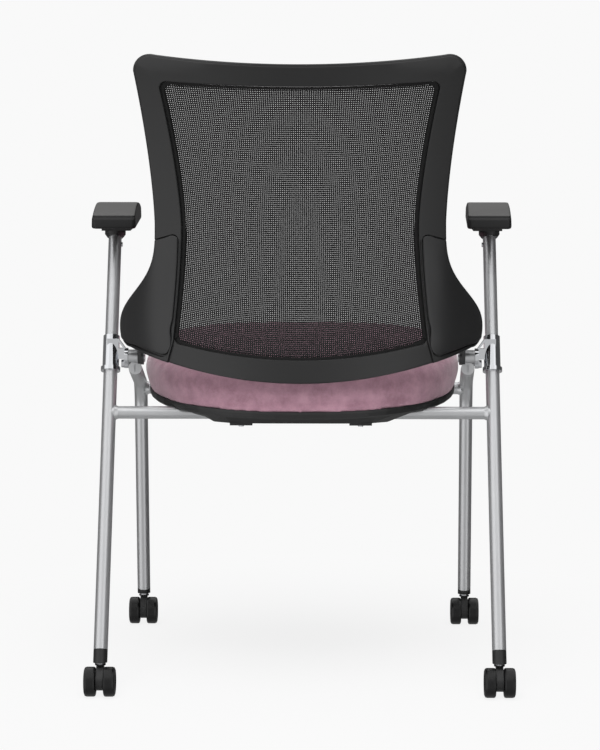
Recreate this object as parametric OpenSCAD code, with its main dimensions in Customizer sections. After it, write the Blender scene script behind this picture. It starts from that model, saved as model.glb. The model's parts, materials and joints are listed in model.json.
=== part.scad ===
// Nesting chair: mesh back that tilts, seat that flips up on the rear crossbar,
// fixed armrests and four twin-wheel casters. The chair faces -Y and stands on z = 0.
// The sitter's left is +X. Depths are measured forward from the back edge of the frame base.

/* [Frame] */
// Outer diameter of the rear leg tubes
rear_leg_od = 21; // [18:0.5:24]
// Outer diameter of the arm posts above the collars
arm_post_od = 20; // [17:0.5:21]
// Outer diameter of the bent front leg tubes
front_leg_od = 21; // [18:0.5:24]
// Outer diameter of both crossbars
bar_od = 19; // [16:0.5:20]
// Wall thickness of all tubes
tube_wall = 1.8; // [1.2:0.1:2.5]
// How far the feet of the rear legs stand outside the seat's half width
foot_gap = 56; // [52:0.5:60]
// Depth of the feet of the rear legs
rear_foot_d = 13.5; // [8:0.5:20]
// Height of the lower ends of the rear leg tubes
rear_foot_z = 66; // [62:0.5:72]
// Forward lean of the rear legs and arm posts, in degrees
leg_lean = 23; // [20:0.5:25]
// Inward lean of the rear legs, in degrees
leg_in = 0.55; // [0.3:0.05:0.8]
// Height of both crossbars at the rear and of the seat hinge
bar_z = 400; // [385:1:415]
// Height of the back pivots
pivot_z = 481; // [476:1:485]
// How far the top ends of the front legs stand outside the seat's half width
front_top_gap = 15; // [14.5:0.5:17]
// Outward turn of each front leg about its clamp, in degrees
front_splay = 2.3; // [1.8:0.1:2.6]
// Depth of the corner where the seat rail turns down into the front leg
corner_d = 436; // [428:1:446]
// Height of that corner
corner_z = 410; // [402:1:416]
// Centreline radius of the bend
bend_r = 55; // [45:1:65]
// Depth of the feet of the front legs
front_foot_d = 508; // [500:1:516]
// Height of the lower ends of the front leg tubes
front_foot_z = 58; // [55:0.5:64]

/* [Casters] */
// Diameter of each wheel
wheel_d = 44; // [38:1:46]
// Width of each wheel
wheel_w = 17; // [14:0.5:19]
// Width of the housing between the two wheels
housing_w = 11; // [10:0.5:13]
// Distance of the axle behind the swivel
trail = 13; // [10:0.5:15]
// Diameter of the axle
axle_d = 5; // [4:0.5:6]
// Diameter of the stem inside the housing
stem_d = 7; // [5:0.5:7]

/* [Seat] */
// Half width of the seat at its widest
seat_half_w = 238; // [230:0.5:250]
// Distance from the widest place back to the rear edge
seat_rear_len = 230; // [215:1:236]
// Distance from the widest place to the front edge
seat_front_len = 207; // [190:1:215]
// Distance of the widest place ahead of the hinge
seat_wide_d = 145; // [138:1:155]
// Tilt of the seat, front up, in degrees
seat_tilt = 4; // [3:0.5:5]
// Height of the cushion above its shell
cushion_h = 62; // [50:1:64]
// Height of the shell's visible rim
rim_h = 12; // [10:0.5:14]
// Depth of the shell's belly below its rim
belly_h = 17; // [15:0.5:18]
// Thickness of the board inside the cushion
board_t = 10; // [8:0.5:14]

/* [Back] */
// Half width of the back at its waist
waist_half_w = 215; // [208:0.5:218]
// Extra half width at the top corners
top_flare = 27; // [15:0.5:34]
// How far the side covers reach outside the seat's half width
ear_gap = 37; // [30:0.5:38]
// Height of the top edge at its middle
back_top_z = 925; // [900:1:950]
// Rise of the top edge towards its corners
top_rise = 14; // [6:0.5:18]
// Height of the waist
waist_z = 690; // [670:1:710]
// Height of the widest place of the side covers
ear_z = 531; // [525:1:540]
// Height of the lower edge at its middle
back_low_z = 457; // [456:0.5:462]
// Height of the lower bar
low_bar_h = 35; // [28:0.5:38]
// Height of the upper bar
top_bar_h = 32; // [28:0.5:36]
// Width of the side rails at the waist
rail_w = 41; // [38:0.5:50]
// How far the ears come forward of the back's middle, before their own curl
back_wrap = 88.3; // [74:0.1:95]
// Thickness of the back frame
back_t = 11; // [9:0.5:13]
// Width of the mesh carrier seen inside the frame
lip_w = 4.5; // [4:0.5:6]
// Thickness of the mesh
mesh_t = 1.2; // [0.8:0.1:1.6]
// Thickness of the side covers
cover_t = 3; // [2.5:0.1:3.5]

/* [Arms] */
// Length of the arm pads
pad_len = 245; // [220:1:260]
// Width of the arm pads
pad_w = 67; // [60:0.5:72]
// Thickness of the arm pads at their middle
pad_h = 32; // [28:0.5:36]
// Depth of the rear end of the arm pads
pad_rear_d = 182; // [170:1:195]
// Height of the flat underside of the arm pads
pad_z = 676; // [672:0.5:690]
// How much further out the front ends of the arm pads stand than their rear ends
pad_toe = 9; // [0:0.5:12]

/* [Fits] */
// Radial running clearance of axles, stems and hinge bushes
run_fit = 0.05; // [0.03:0.01:0.1]
// Clearance between held pieces
seat_fit = 0.2; // [0.1:0.05:0.3]
// Clearance between pieces that move past each other
move_gap = 0.4; // [0.3:0.05:0.6]

/* [Hidden] */
$fn = 64;

// Places across the chair that follow the seat's half width
rear_foot_x = seat_half_w + foot_gap;
front_top_x = seat_half_w + front_top_gap;
ear_x = seat_half_w + ear_gap;
ear_reach = ear_x - waist_half_w;

// Depth of the middle of the whole chair, so that Y = 0 is its centre
centre_d = 236.2;
over = 1;                 // overrun of every cut and overlap of joined pieces
span = 1200;              // side of the block that trims the leg caps

// Colours
silver = [0.74, 0.75, 0.77];
chrome = [0.85, 0.86, 0.88];
black = [0.16, 0.16, 0.17];
soft_black = [0.22, 0.22, 0.23];
pink = [0.60, 0.47, 0.52];

// Rear legs: the foot, then places along the leg
leg_rise = cos(leg_lean) * cos(leg_in);
function leg_s(z) = (z - rear_foot_z) / leg_rise;
function leg_d(z) = rear_foot_d + leg_s(z) * sin(leg_lean);
function leg_x(z) = rear_foot_x - leg_s(z) * cos(leg_lean) * sin(leg_in);
hinge_d = leg_d(bar_z);
pivot_d = leg_d(pivot_z);

// Arm: the post ends below the stub of the arm base
stub_h = 18;
stub_r = 16;
post_top_z = pad_z - stub_h;
arm_in = 4;               // the pads sit this far inward of their posts
arm_x = leg_x(pad_z) - arm_in;
stub_low_r = 12.5;        // the stub narrows at its lower end
stub_taper = 5;
base_t = 6;
base_from_share = 0.2;    // the base's place, length and width as shares of the pad's
base_len_share = 0.5;
base_w_share = 0.66;
spigot_len = 36;
screw_drop = 11;
screw_z = post_top_z - screw_drop;

// Collar between rear leg and arm post
collar_wall = 2;
collar_below = 21;        // reach of the sleeve below and above the pivot
collar_above = 30;
collar_low_z = pivot_z - collar_below;
collar_high_z = pivot_z + collar_above;
collar_mid_z = (collar_low_z + collar_high_z) / 2;
collar_r = rear_leg_od / 2 + collar_wall;
flange_h = 6;
flange_wall = 4.3;
flange_r = rear_leg_od / 2 + flange_wall;

// Pivot barrels: places along X, from the middle of the chair outwards
pivot_room = 2;           // room between the seat's half width and the boss
boss_step = 3.5;
plate_t = 5;
barrel_len = 14.5;
ring_t = 5.6;
boss_in = seat_half_w + pivot_room;
plate_in = boss_in + boss_step;
boss_out = plate_in + plate_t;
barrel_in = boss_out + move_gap;
barrel_out = barrel_in + barrel_len;
ring_out = barrel_out + ring_t;
barrel_r = 11;
ring_r = 13.5;
boss_r = 12;
bush_r = 8;
pin_r = 5;
pin_head_r = 8;
pin_head_h = 1.6;
web_t = 9;                // web between the ring and the collar
web_shares = [[-0.05, -0.12], [1, -0.12], [1, 1.05], [0.34, 1.05], [-0.05, 0.5]];
window_shares = [[0.07, 0.5], [0.34, 0.5], [0.34, 0.86]];

// Clamp bolt below the pivot
bolt_r = 3;
bolt_head_r = 6;
bolt_head_h = 4;
washer_r = 6.5;
washer_t = 1.4;
bolt_drop = 10.5;
bolt_ear_r = 7;
bolt_wall = 2.5;          // cast wall left inside the bolt's end
bolt_in = boss_out + bolt_wall;

// Front leg: the rail starts at the clamp and ends at the corner
clamp_drop = 18;          // the head hangs this far below the pivot
clamp_d = pivot_d;
clamp_z = pivot_z - clamp_drop;
head_back = 9;            // the head reaches this far behind and ahead of the pivot
head_front = 15;
head_step = 0.5;          // the head is this much thinner in radius than the rail
head_r = front_leg_od / 2 - head_step;
slot_w = 3.4;
slot_h = 11;
slot_deep = 5;
plug_len = 28;
front_run = corner_d - clamp_d;
rail_drop = atan((clamp_z - corner_z) / front_run);
foot_lean = atan((front_foot_d - corner_d) / (corner_z - front_foot_z));
turn = 90 - foot_lean - rail_drop;
bend_swell = 0.1;         // the bent tube is a touch thicker than the straight one
bend_leg = bend_r * tan(turn / 2);
rail_from = head_front + seat_fit;
rail_len = round(10 * (front_run / cos(rail_drop) - bend_leg)) / 10;
foot_len = round(10 * ((corner_z - front_foot_z) / cos(foot_lean) - bend_leg)) / 10;
// The front crossbar meets the middle of the bend
bend_inset = bend_r / cos(turn / 2) - bend_r;
mid_angle = rail_drop + turn / 2;
front_bar_d = corner_d - bend_inset * sin(mid_angle);
front_bar_z = corner_z - bend_inset * cos(mid_angle);

// Caster sizes, in a frame with the stem's axis as Z and the floor at 0
wheel_r = wheel_d / 2;
hub_r = 6.5;
recess_r = 15.5;
recess_deep = 5;
dish_r = 12.5;
dish_deep = 1.5;
edge_shares = [[0.88, 0], [0.97, 0.06], [1, 0.16], [1, 0.76], [0.95, 0.93], [0.82, 1]];
face_wall = 2;
blind = wheel_w - dish_deep - face_wall;
axle_half = housing_w / 2 + move_gap + blind - move_gap;
hood_z = wheel_d + move_gap;
hood_t = 2;
hood_r = 8;
housing_r = 13;
neck_wall = 3;
neck_front = stem_d / 2 + neck_wall;
stem_gap = 5;
stem_low_z = wheel_r + stem_gap;
stem_cone_r = 7;
stem_cone_h = 2.4;
stem_top_r = 4;
stem_top_len = 12;
cone_z = hood_z + hood_t + seat_fit;
cap_low_z = cone_z + stem_cone_h;
stem_ahead = 2;           // the rear stems stand this far ahead of their legs
rear_stem_d = leg_d(cap_low_z) + stem_ahead;
rear_stem_x = leg_x(cap_low_z);
front_stem_run = front_foot_d - clamp_d + (front_foot_z - cap_low_z) * tan(foot_lean);
front_stem_d = clamp_d + front_stem_run * cos(front_splay);
front_stem_x = front_top_x + front_stem_run * sin(front_splay);
cap_plug_len = 20;

// Seat frame: origin on the hinge axis, -Y forward, Z square to the seat
shell_top = 18;
shell_rim_low = shell_top - rim_h;
shell_low = shell_rim_low - belly_h;
cushion_low = shell_top + seat_fit;
seat_power_rear = 2.25;
seat_power_front = 3;
seat_steps = 48;
board_inset = 12;
// Insets and heights of the cushion's rings, as shares of its height
cushion_shares = [[0.06, 0], [0.03, 0.05], [-0.035, 0.2], [-0.08, 0.4], [-0.085, 0.55], [-0.04, 0.73],
    [0.05, 0.85], [0.22, 0.925], [0.55, 0.965], [1.1, 0.985], [1.8, 0.995], [2.6, 1]];
// How far the cushion's rear stands forward above its foot, so that the back clears it when it tilts
cushion_back = 7.5;
cushion_foot_share = 0.2;
// Insets and heights of the rings of the shell's rim
rim_under = 4;
rim_round = 3;
rim_lip = 1;
shell_rings = [[rim_under, shell_rim_low], [rim_lip, shell_rim_low + rim_round],
    [0, shell_top - rim_round], [rim_lip, shell_top]];
// Belly below the rim: insets of its top at the sides and the rear, its room behind the front
// crossbar, and how much more its bottom is drawn in at the sides, the rear and the front
belly_power = 6;
belly_side = 50;
belly_back = 45;
belly_clear = 6;
belly_slopes = [35, 13, 15];
shell_wall = 5;
cavity_low = shell_low + shell_wall;
hinge_band = 28;
hinge_x = 90;
hinge_len = 30;
bush_wall = 1.4;
bush_od_r = bar_od / 2 + run_fit + bush_wall;
channel_r = bush_od_r + seat_fit / 2;
hinge_cap_w = 34;
hinge_cap_len = 50;
hinge_cap_wall = 3.4;
hinge_cap_low = channel_r + hinge_cap_wall;
screw_r = 2;
screw_head_r = 4;
screw_head_h = 2.4;
hinge_screw_v = 18;
hinge_screw_up = 6;
front_bar_run = front_bar_d - hinge_d;
front_bar_rise = front_bar_z - bar_z;
bumper_v = front_bar_run * cos(seat_tilt) + front_bar_rise * sin(seat_tilt);
bumper_w = front_bar_rise * cos(seat_tilt) - front_bar_run * sin(seat_tilt);
bumper_x = 110;
bumper_len = 28;
bumper_wide = 18;
bumper_grip = 5;

// Back: the rear face is a surface over X and Z; its middle runs back as it rises
back_low_d = 44;
back_recline = 93;
recline_power = 1.9;
top_wrap_share = 0.25;    // how much less the sides wrap at the top
ear_lift = 30;            // extra forward curl at the edge of the side covers
ear_span = 70;            // the curl starts this far inside the edge
ear_from = ear_x - ear_span;
ear_fade_low = 600;
ear_fade_high = 685;
ear_spread = 73;
ear_power = 2.3;
flare_power = 1.6;
low_rise = 50.7;          // rise of the lower edges out at the side covers
inner_low_rise = 45.8;
inner_top_rise = 9;
inner_flare = 35;
inner_flare_power = 1.5;
inner_ear_flare = 16;
inner_ear_span = 180;
inner_ear_power = 1.5;
edge_r = 24;
ear_r = 17;
inner_r = 10;
seam_z = 670;             // upper end of the side covers
cover_out = 14;           // the covers end this far outside the opening's lower corners
cover_corner_r = 10;
rim_w = 2.2;              // rim of the frame between the opening and the covers
low_rim_w = 5.5;          // rim below the covers
foot_rim_w = 3;           // rim between the covers and the lower bar
seam_gap = 0.8;
cover_g = rim_w + 2 * seam_gap;
cover_low_g = low_rim_w + 2 * seam_gap;
fan_h = 30;               // height beside the opening that faces the foot of the cover
fan_g = 8;                // growth of the inner gap over that height
low_deep = 4;             // the lower bar lies this much deeper than the rails
top_steps = 6;
upper_steps = 8;
lower_steps = 10;
low_steps = 9;
ear_steps = 9;
ear_low_shares = [0, 0.1, 0.5, 1, 1, 1];
corner_shares = [1, 0.4, 0.1, 0];
carrier_t = 3.4;
carrier_deep = 4.2;
mesh_grip = 3;            // how far the mesh runs under the carrier
mesh_fit = 0.35;          // clearance between the mesh and the carrier
cover_relief = 0.6;       // extra depth of the covers' recess along its middle
mesh_rings_share = [0.05, 0.35, 0.7, 1];

// Back bracket: a plate from the pivot boss to two bosses on the frame
flange_back = 21;
flange_w = 19.5;
flange_up = 24;
flange_tall = 55;
flange_d = pivot_d - flange_back;
flange_t = 4;
flange_out = plate_in + flange_w;
flange_low_z = pivot_z + flange_up;
flange_high_z = flange_low_z + flange_tall;
stand_out = 10.5;
stand_len = 23.7;
stand_x = plate_in + stand_out;
stand_r = 5;
stand_in_z = 12;
stand_grip = 8;           // length of the screws inside the bosses

// Arm screws, through the inner side of the posts
arm_screw_r = 2;
arm_screw_head_r = 3.5;
arm_screw_head_h = 1.6;

// Blending, signed powers and clamping
function lerp(a, b, t) = a + (b - a) * t;
function power(v, n) = sign(v) * pow(abs(v), n);
function clamp01(v) = min(1, max(0, v));

// Closed solid through rings of equally many points, counterclockwise seen from the last ring
module ringed(rings) {
    n = len(rings[0]);
    m = len(rings);
    sides = [for (j = [0 : m - 2], i = [0 : n - 1])
        let (a = j * n + i, b = j * n + (i + 1) % n, c = b + n, d = a + n)
        each [[a, c, b], [a, d, c]]];
    low = [for (i = [0 : n - 1]) i];
    high = [for (i = [n - 1 : -1 : 0]) (m - 1) * n + i];
    polyhedron(points = [for (r = rings) each r], faces = concat(sides, [low, high]), convexity = 6);
}

module at(x, d, z) {
    translate([x, centre_d - d, z]) children();
}

// Local Z runs up the left rear leg from its foot
module on_leg() {
    at(rear_foot_x, rear_foot_d, rear_foot_z)
        rotate([0, -leg_in, 0])
            rotate([leg_lean, 0, 0])
                children();
}

// Local Z runs down the seat rail from the clamp, in the turned plane of the left front leg
module on_rail() {
    at(front_top_x, clamp_d, clamp_z)
        rotate([0, 0, front_splay])
            rotate([90 + rail_drop, 0, 0])
                children();
}

module bar_x(r, x0, x1) {
    translate([x0, 0, 0]) rotate([0, 90, 0]) cylinder(r = r, h = x1 - x0);
}

module both_sides() {
    children();
    mirror([1, 0, 0]) children();
}

module tube(r, wall, len) {
    difference() {
        cylinder(r = r, h = len);
        translate([0, 0, -over]) cylinder(r = r - wall, h = len + 2 * over);
    }
}

// Bar along X with a small weld cone where each end meets a leg; half is the leg's inner side
weld_len = 3.5;
weld_in = 2;
weld_rise = 2.4;
module welded_bar(r, half) {
    bar_x(r, -half - r, half + r);
    for (side = [-1, 1])
        rotate([0, 90 * side, 0]) translate([0, 0, half - weld_len])
            cylinder(r1 = r, r2 = r + weld_rise, h = weld_len + weld_in);
}

// Left rear leg, from its foot to the middle of the collar
module rear_leg() {
    color(silver) on_leg() tube(rear_leg_od / 2, tube_wall, leg_s(collar_mid_z));
}

// Left arm post, with the hole of its screw
module arm_post() {
    color(silver) difference() {
        on_leg() translate([0, 0, leg_s(collar_mid_z)])
            tube(arm_post_od / 2, tube_wall, leg_s(post_top_z) - leg_s(collar_mid_z));
        on_leg() translate([0, 0, leg_s(screw_z)])
            bar_x(arm_screw_r + seat_fit, -arm_post_od, 0);
    }
}

// From the rail's frame to the foot's: local Z runs on down from the bend
module on_foot() {
    translate([0, -bend_r, rail_len]) rotate([turn, 0, 0]) translate([0, bend_r, 0]) children();
}

// Left front leg as a solid rod of radius r: rail, bend and foot, the bend thicker by a swell
module front_path(r, swell, from, extra) {
    on_rail() {
        translate([0, 0, from]) cylinder(r = r, h = rail_len - from + over);
        translate([0, -bend_r, rail_len]) rotate([90, 0, 90])
            rotate_extrude(angle = turn) translate([bend_r, 0]) circle(r = r + swell);
        on_foot() translate([0, 0, -over]) cylinder(r = r, h = foot_len + extra + over);
    }
}

module front_leg() {
    color(silver) difference() {
        front_path(front_leg_od / 2, bend_swell, rail_from, 0);
        front_path(front_leg_od / 2 - tube_wall, -bend_swell, rail_from - over, over);
    }
}

module rear_crossbar() {
    color(silver) difference() {
        at(0, hinge_d, bar_z) welded_bar(bar_od / 2, leg_x(bar_z) - rear_leg_od / 2);
        at(0, hinge_d, bar_z) bar_x(bar_od / 2 - tube_wall, -rear_foot_x, rear_foot_x);
        both_sides() on_leg() cylinder(r = rear_leg_od / 2, h = leg_s(collar_mid_z));
    }
}

module front_crossbar() {
    half = front_top_x + (front_bar_d - clamp_d) * tan(front_splay) - front_leg_od / 2;
    color(silver) difference() {
        at(0, front_bar_d, front_bar_z) welded_bar(bar_od / 2, half);
        at(0, front_bar_d, front_bar_z) bar_x(bar_od / 2 - tube_wall, -rear_foot_x, rear_foot_x);
        both_sides() front_path(front_leg_od / 2, bend_swell, rail_from, 0);
    }
}

// Chrome collar that joins leg and post and carries the pivot
module collar() {
    low = leg_s(collar_low_z);
    len = leg_s(collar_high_z) - low;
    web = leg_x(pivot_z) - barrel_out;
    color(chrome) difference() {
        union() {
            on_leg() translate([0, 0, low]) {
                cylinder(r = collar_r, h = len);
                cylinder(r = flange_r, h = flange_h);
            }
            at(0, pivot_d, pivot_z) {
                bar_x(ring_r, barrel_out + seat_fit, ring_out);
                translate([0, 0, -bolt_drop]) bar_x(bolt_ear_r, barrel_out + seat_fit, ring_out);
                translate([ring_out - seat_fit, web_t / 2, 0]) rotate([90, 0, 0])
                    linear_extrude(web_t) difference() {
                        polygon([for (p = web_shares) p * web]);
                        polygon([for (p = window_shares) p * web]);
                    }
            }
        }
        on_leg() translate([0, 0, low - over]) cylinder(r = rear_leg_od / 2, h = leg_s(collar_mid_z) - low + over);
        on_leg() translate([0, 0, leg_s(collar_mid_z)]) cylinder(r = arm_post_od / 2, h = len);
        at(0, pivot_d, pivot_z) bar_x(pin_r, barrel_out, ring_out - over);
        at(0, pivot_d, pivot_z - bolt_drop) bar_x(bolt_r + seat_fit, barrel_out, ring_out + over);
    }
}

// Cast clamp: pivot barrel, slotted head and the plug inside the seat rail
module clamp_head() {
    color(silver) difference() {
        union() {
            at(0, pivot_d, pivot_z) bar_x(barrel_r, barrel_in, barrel_out);
            on_rail() {
                translate([0, 0, -head_back]) cylinder(r = head_r, h = head_back + head_front);
                cylinder(r = front_leg_od / 2 - tube_wall - seat_fit / 2, h = head_front + plug_len);
            }
        }
        at(0, pivot_d, pivot_z) {
            bar_x(pin_r, boss_in, ring_out);
            bar_x(boss_r + move_gap, boss_in - over, barrel_in);
        }
        at(0, pivot_d, pivot_z - bolt_drop) bar_x(bolt_r, bolt_in, ring_out);
        on_rail() translate([-slot_w / 2, -slot_h / 2, -head_back - over])
            cube([slot_w, slot_h, slot_deep + over]);
    }
}

// Bolts that lock the clamps to the collars, each with its washer
module clamp_bolts() {
    color(silver) both_sides() at(0, pivot_d, pivot_z - bolt_drop) {
        bar_x(bolt_r, bolt_in, ring_out + washer_t + bolt_head_h);
        bar_x(washer_r, ring_out, ring_out + washer_t);
        translate([ring_out, 0, 0]) rotate([0, 90, 0])
            cylinder(r = bolt_head_r, h = washer_t + bolt_head_h - seat_fit, $fn = 6);
    }
}

module pivot_pins() {
    head_x = boss_in - move_gap;
    color(silver) both_sides() at(0, pivot_d, pivot_z) {
        bar_x(pin_r, head_x, ring_out - over - move_gap);
        bar_x(pin_head_r, head_x - pin_head_h, head_x);
    }
}

// Everything under height z
module below(z) {
    translate([-span / 2, -span / 2, z - span]) cube([span, span, span]);
}

// Black end caps of the rear legs, with the sockets of the stems
module rear_leg_caps() {
    reach = leg_s(rear_foot_z) - leg_s(cap_low_z);
    color(black) both_sides() difference() {
        on_leg() {
            translate([0, 0, -2 * reach]) cylinder(r = rear_leg_od / 2, h = 2 * reach);
            cylinder(r = rear_leg_od / 2 - tube_wall - seat_fit / 2, h = cap_plug_len);
        }
        below(cap_low_z);
        at(rear_stem_x, rear_stem_d, cap_low_z - over) cylinder(r = stem_top_r, h = stem_top_len + 2 * over);
    }
}

module front_leg_caps() {
    drop = front_foot_z - cap_low_z;
    color(black) both_sides() difference() {
        on_rail() on_foot() {
            translate([0, 0, foot_len]) cylinder(r = front_leg_od / 2, h = 2 * drop);
            translate([0, 0, foot_len - cap_plug_len])
                cylinder(r = front_leg_od / 2 - tube_wall - seat_fit / 2, h = 2 * cap_plug_len);
        }
        below(cap_low_z);
        at(front_stem_x, front_stem_d, cap_low_z - over) cylinder(r = stem_top_r, h = stem_top_len + 2 * over);
    }
}

// Armrest: base with stub and spigot, and the arched pad on it
module arm_base() {
    base_rear = pad_rear_d + pad_len * base_from_share;
    base_len = pad_len * base_len_share;
    base_w = pad_w * base_w_share;
    color(black) difference() {
        union() {
            at(arm_x - base_w / 2, base_rear + base_len, pad_z - base_t) cube([base_w, base_len, base_t]);
            on_leg() {
                translate([0, 0, leg_s(post_top_z)]) cylinder(r1 = stub_low_r, r2 = stub_r, h = stub_taper);
                translate([0, 0, leg_s(post_top_z) + stub_taper])
                    cylinder(r = stub_r, h = leg_s(pad_z) - leg_s(post_top_z) - stub_taper + stub_r);
                translate([0, 0, leg_s(post_top_z) - spigot_len])
                    cylinder(r = arm_post_od / 2 - tube_wall - seat_fit / 2, h = spigot_len + over);
            }
        }
        at(arm_x - pad_w, pad_rear_d + pad_len, pad_z) cube([2 * pad_w, pad_len, pad_h]);
        on_leg() translate([0, 0, leg_s(screw_z)]) bar_x(arm_screw_r, -arm_post_od, 0);
    }
}

pad_steps = 16;
pad_section_shares = [[-0.86, 0], [0.86, 0], [0.96, 0.08], [1, 0.25], [1, 0.72], [0.97, 0.88], [0.89, 0.965], [0.45, 1],
    [-0.45, 1], [-0.89, 0.965], [-0.97, 0.88], [-1, 0.72], [-1, 0.25], [-0.96, 0.08]];
pad_rear_share = 0.6;     // thickness at the rear end, of the middle's
pad_front_share = 0.72;
pad_nose = 0.04;          // share of the length over which each end narrows
pad_end_share = 0.9;      // width of the ends, of the middle's
function pad_rise(u) = u < 0.5 ? lerp(pad_rear_share, 1, sin(180 * u)) : lerp(pad_front_share, 1, sin(180 * u));
function pad_wide(u) = lerp(pad_end_share, 1, sin(90 * clamp01(min(u, 1 - u) / pad_nose)));
module arm_pad() {
    color(soft_black) ringed([for (k = [0 : pad_steps])
        let (u = (1 - cos(180 * k / pad_steps)) / 2, w = pad_w / 2 * pad_wide(u), h = pad_h * pad_rise(u))
        [for (p = pad_section_shares)
            [arm_x + pad_toe * u + w * p[0], centre_d - pad_rear_d - pad_len * u, pad_z + h * p[1]]]]);
}

module arm_screws() {
    color(silver) both_sides() on_leg() translate([0, 0, leg_s(screw_z)]) {
        bar_x(arm_screw_r, -arm_post_od / 2 - seat_fit, -over);
        bar_x(arm_screw_head_r, -arm_post_od / 2 - seat_fit - arm_screw_head_h, -arm_post_od / 2 - seat_fit);
    }
}

// Half widths, upper and lower edges of the back's outline and of its opening
function rise_share(z) = clamp01((z - back_low_z) / (back_top_z - back_low_z));
function outer_w(z) = z > waist_z
    ? waist_half_w + top_flare * pow((z - waist_z) / (back_top_z - waist_z), flare_power)
    : waist_half_w + ear_reach * exp(-pow(abs(z - ear_z) / ear_spread, ear_power));
function inner_w(z) = waist_half_w - rail_w + (z > waist_z
    ? inner_flare * pow((z - waist_z) / (back_top_z - waist_z), inner_flare_power)
    : inner_ear_flare * pow((waist_z - z) / inner_ear_span, inner_ear_power));
function outer_top(x) = back_top_z + top_rise * pow(x / waist_half_w, 2);
function inner_top(x) = back_top_z - top_bar_h + inner_top_rise * pow(x / waist_half_w, 2);
function outer_low(x) = back_low_z + low_rise * pow(x / ear_x, 2);
function inner_low(x) = back_low_z + low_bar_h + inner_low_rise * pow(x / ear_x, 2);

// Depth of the rear face and its slope across X
function ear_fade(z) = 1 - clamp01((z - ear_fade_low) / (ear_fade_high - ear_fade_low));
function wrap_at(z) = back_wrap * (1 - top_wrap_share * pow(rise_share(z), 2));
function back_d(x, z) = back_low_d - back_recline * pow(rise_share(z), recline_power)
    + wrap_at(z) * pow(x / ear_x, 2)
    + ear_lift * ear_fade(z) * pow(max(0, abs(x) - ear_from) / ear_span, 2);
function back_slope(x, z) = 2 * wrap_at(z) * x / pow(ear_x, 2)
    + 2 * sign(x) * ear_lift * ear_fade(z) * max(0, abs(x) - ear_from) / pow(ear_span, 2);
// Point at height h in front of the rear face, square to it in plan
function back_point(x, z, h) = let (g = back_slope(x, z), s = sqrt(1 + g * g))
    [x - h * g / s, centre_d - back_d(x, z) - h / s, z];

// Half outlines from the middle of the top to the middle of the bottom, as [x, z]
outer_corner_z = outer_top(outer_w(back_top_z) - edge_r) - edge_r;
outer_corner_x = outer_w(outer_corner_z) - edge_r;
ear_corner_z = outer_low(outer_w(ear_z) - ear_r) + ear_r;
ear_corner_x = outer_w(ear_corner_z) - ear_r;
opening_low_z = inner_low(inner_w(ear_z) - inner_r) + inner_r;
cover_end_x = inner_w(opening_low_z) + cover_out;
rim_end_x = cover_end_x - seam_gap - foot_rim_w;
cover_low_x = concat([ear_corner_x, lerp(ear_corner_x, cover_end_x + cover_corner_r, 0.5)],
    [for (c = corner_shares) cover_end_x + c * cover_corner_r]);
function outer_half() = concat(
    [for (k = [0 : top_steps - 1]) let (x = outer_corner_x * k / top_steps) [x, outer_top(x)]],
    [for (a = [0 : 22.5 : 67.5]) [outer_corner_x + edge_r * sin(a), outer_corner_z + edge_r * cos(a)]],
    [for (k = [0 : upper_steps]) let (z = lerp(outer_corner_z, seam_z, k / upper_steps)) [outer_w(z), z]],
    [for (k = [0 : lower_steps]) let (z = lerp(seam_z - seam_gap, ear_corner_z, k / lower_steps)) [outer_w(z), z]],
    [for (a = [110 : 20 : 150]) [ear_corner_x + ear_r * sin(a), ear_corner_z + ear_r * cos(a)]],
    [for (x = cover_low_x) [x, outer_low(x)]],
    [for (x = [cover_end_x - seam_gap, rim_end_x]) [x, outer_low(x)]],
    [for (k = [0 : low_steps]) let (x = (rim_end_x - over) * (1 - k / low_steps)) [x, outer_low(x)]]);
function inner_half(e) = let (
        z1 = inner_top(inner_w(back_top_z - top_bar_h) - inner_r) - inner_r - e,
        x1 = inner_w(z1) - inner_r - e,
        z2 = opening_low_z + e,
        x2 = inner_w(z2) - inner_r - e,
        r = inner_r)
    concat(
    [for (k = [0 : top_steps - 1]) let (x = x1 * k / top_steps) [x, inner_top(x) - e]],
    [for (a = [0 : 22.5 : 67.5]) [x1 + r * sin(a), z1 + r * cos(a)]],
    [for (k = [0 : upper_steps]) let (z = lerp(z1, seam_z, k / upper_steps)) [inner_w(z) - e, z]],
    [for (k = [0 : lower_steps]) let (z = lerp(seam_z - seam_gap, z2 + fan_h, k / lower_steps)) [inner_w(z) - e, z]],
    [for (k = [1 : ear_steps]) let (z = lerp(z2 + fan_h, z2, k / ear_steps)) [inner_w(z) - e, z]],
    [for (a = [96, 100, 104, 124, 144, 164]) [x2 + r * sin(a), z2 + r * cos(a)]],
    [for (k = [1 : low_steps - 3])
        let (x = (x2 + r * sin(164)) * (1 - k / (low_steps - 3))) [x, inner_low(x) + e]]);
function whole(half) = concat(half, [for (k = [len(half) - 2 : -1 : 1]) [-half[k][0], half[k][1]]]);

// Point of a section between the inner edge p and the outer edge q: share a and length b along it
function cut_point(p, q, a, b, h) = let (u = (q - p) / norm(q - p), c = lerp(p, q, a) + b * u)
    back_point(c[0], c[1], h);
first_cover = top_steps + 4 + upper_steps + 1;
last_cover = first_cover + lower_steps + ear_steps;
half_count = last_cover + 2 + low_steps + 2;
function folded(i) = i < half_count ? i : 2 * half_count - 2 - i;
// Station of the cover's foot, from 0 where it starts
function foot_step(k) = max(0, k - first_cover - lower_steps);
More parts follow.
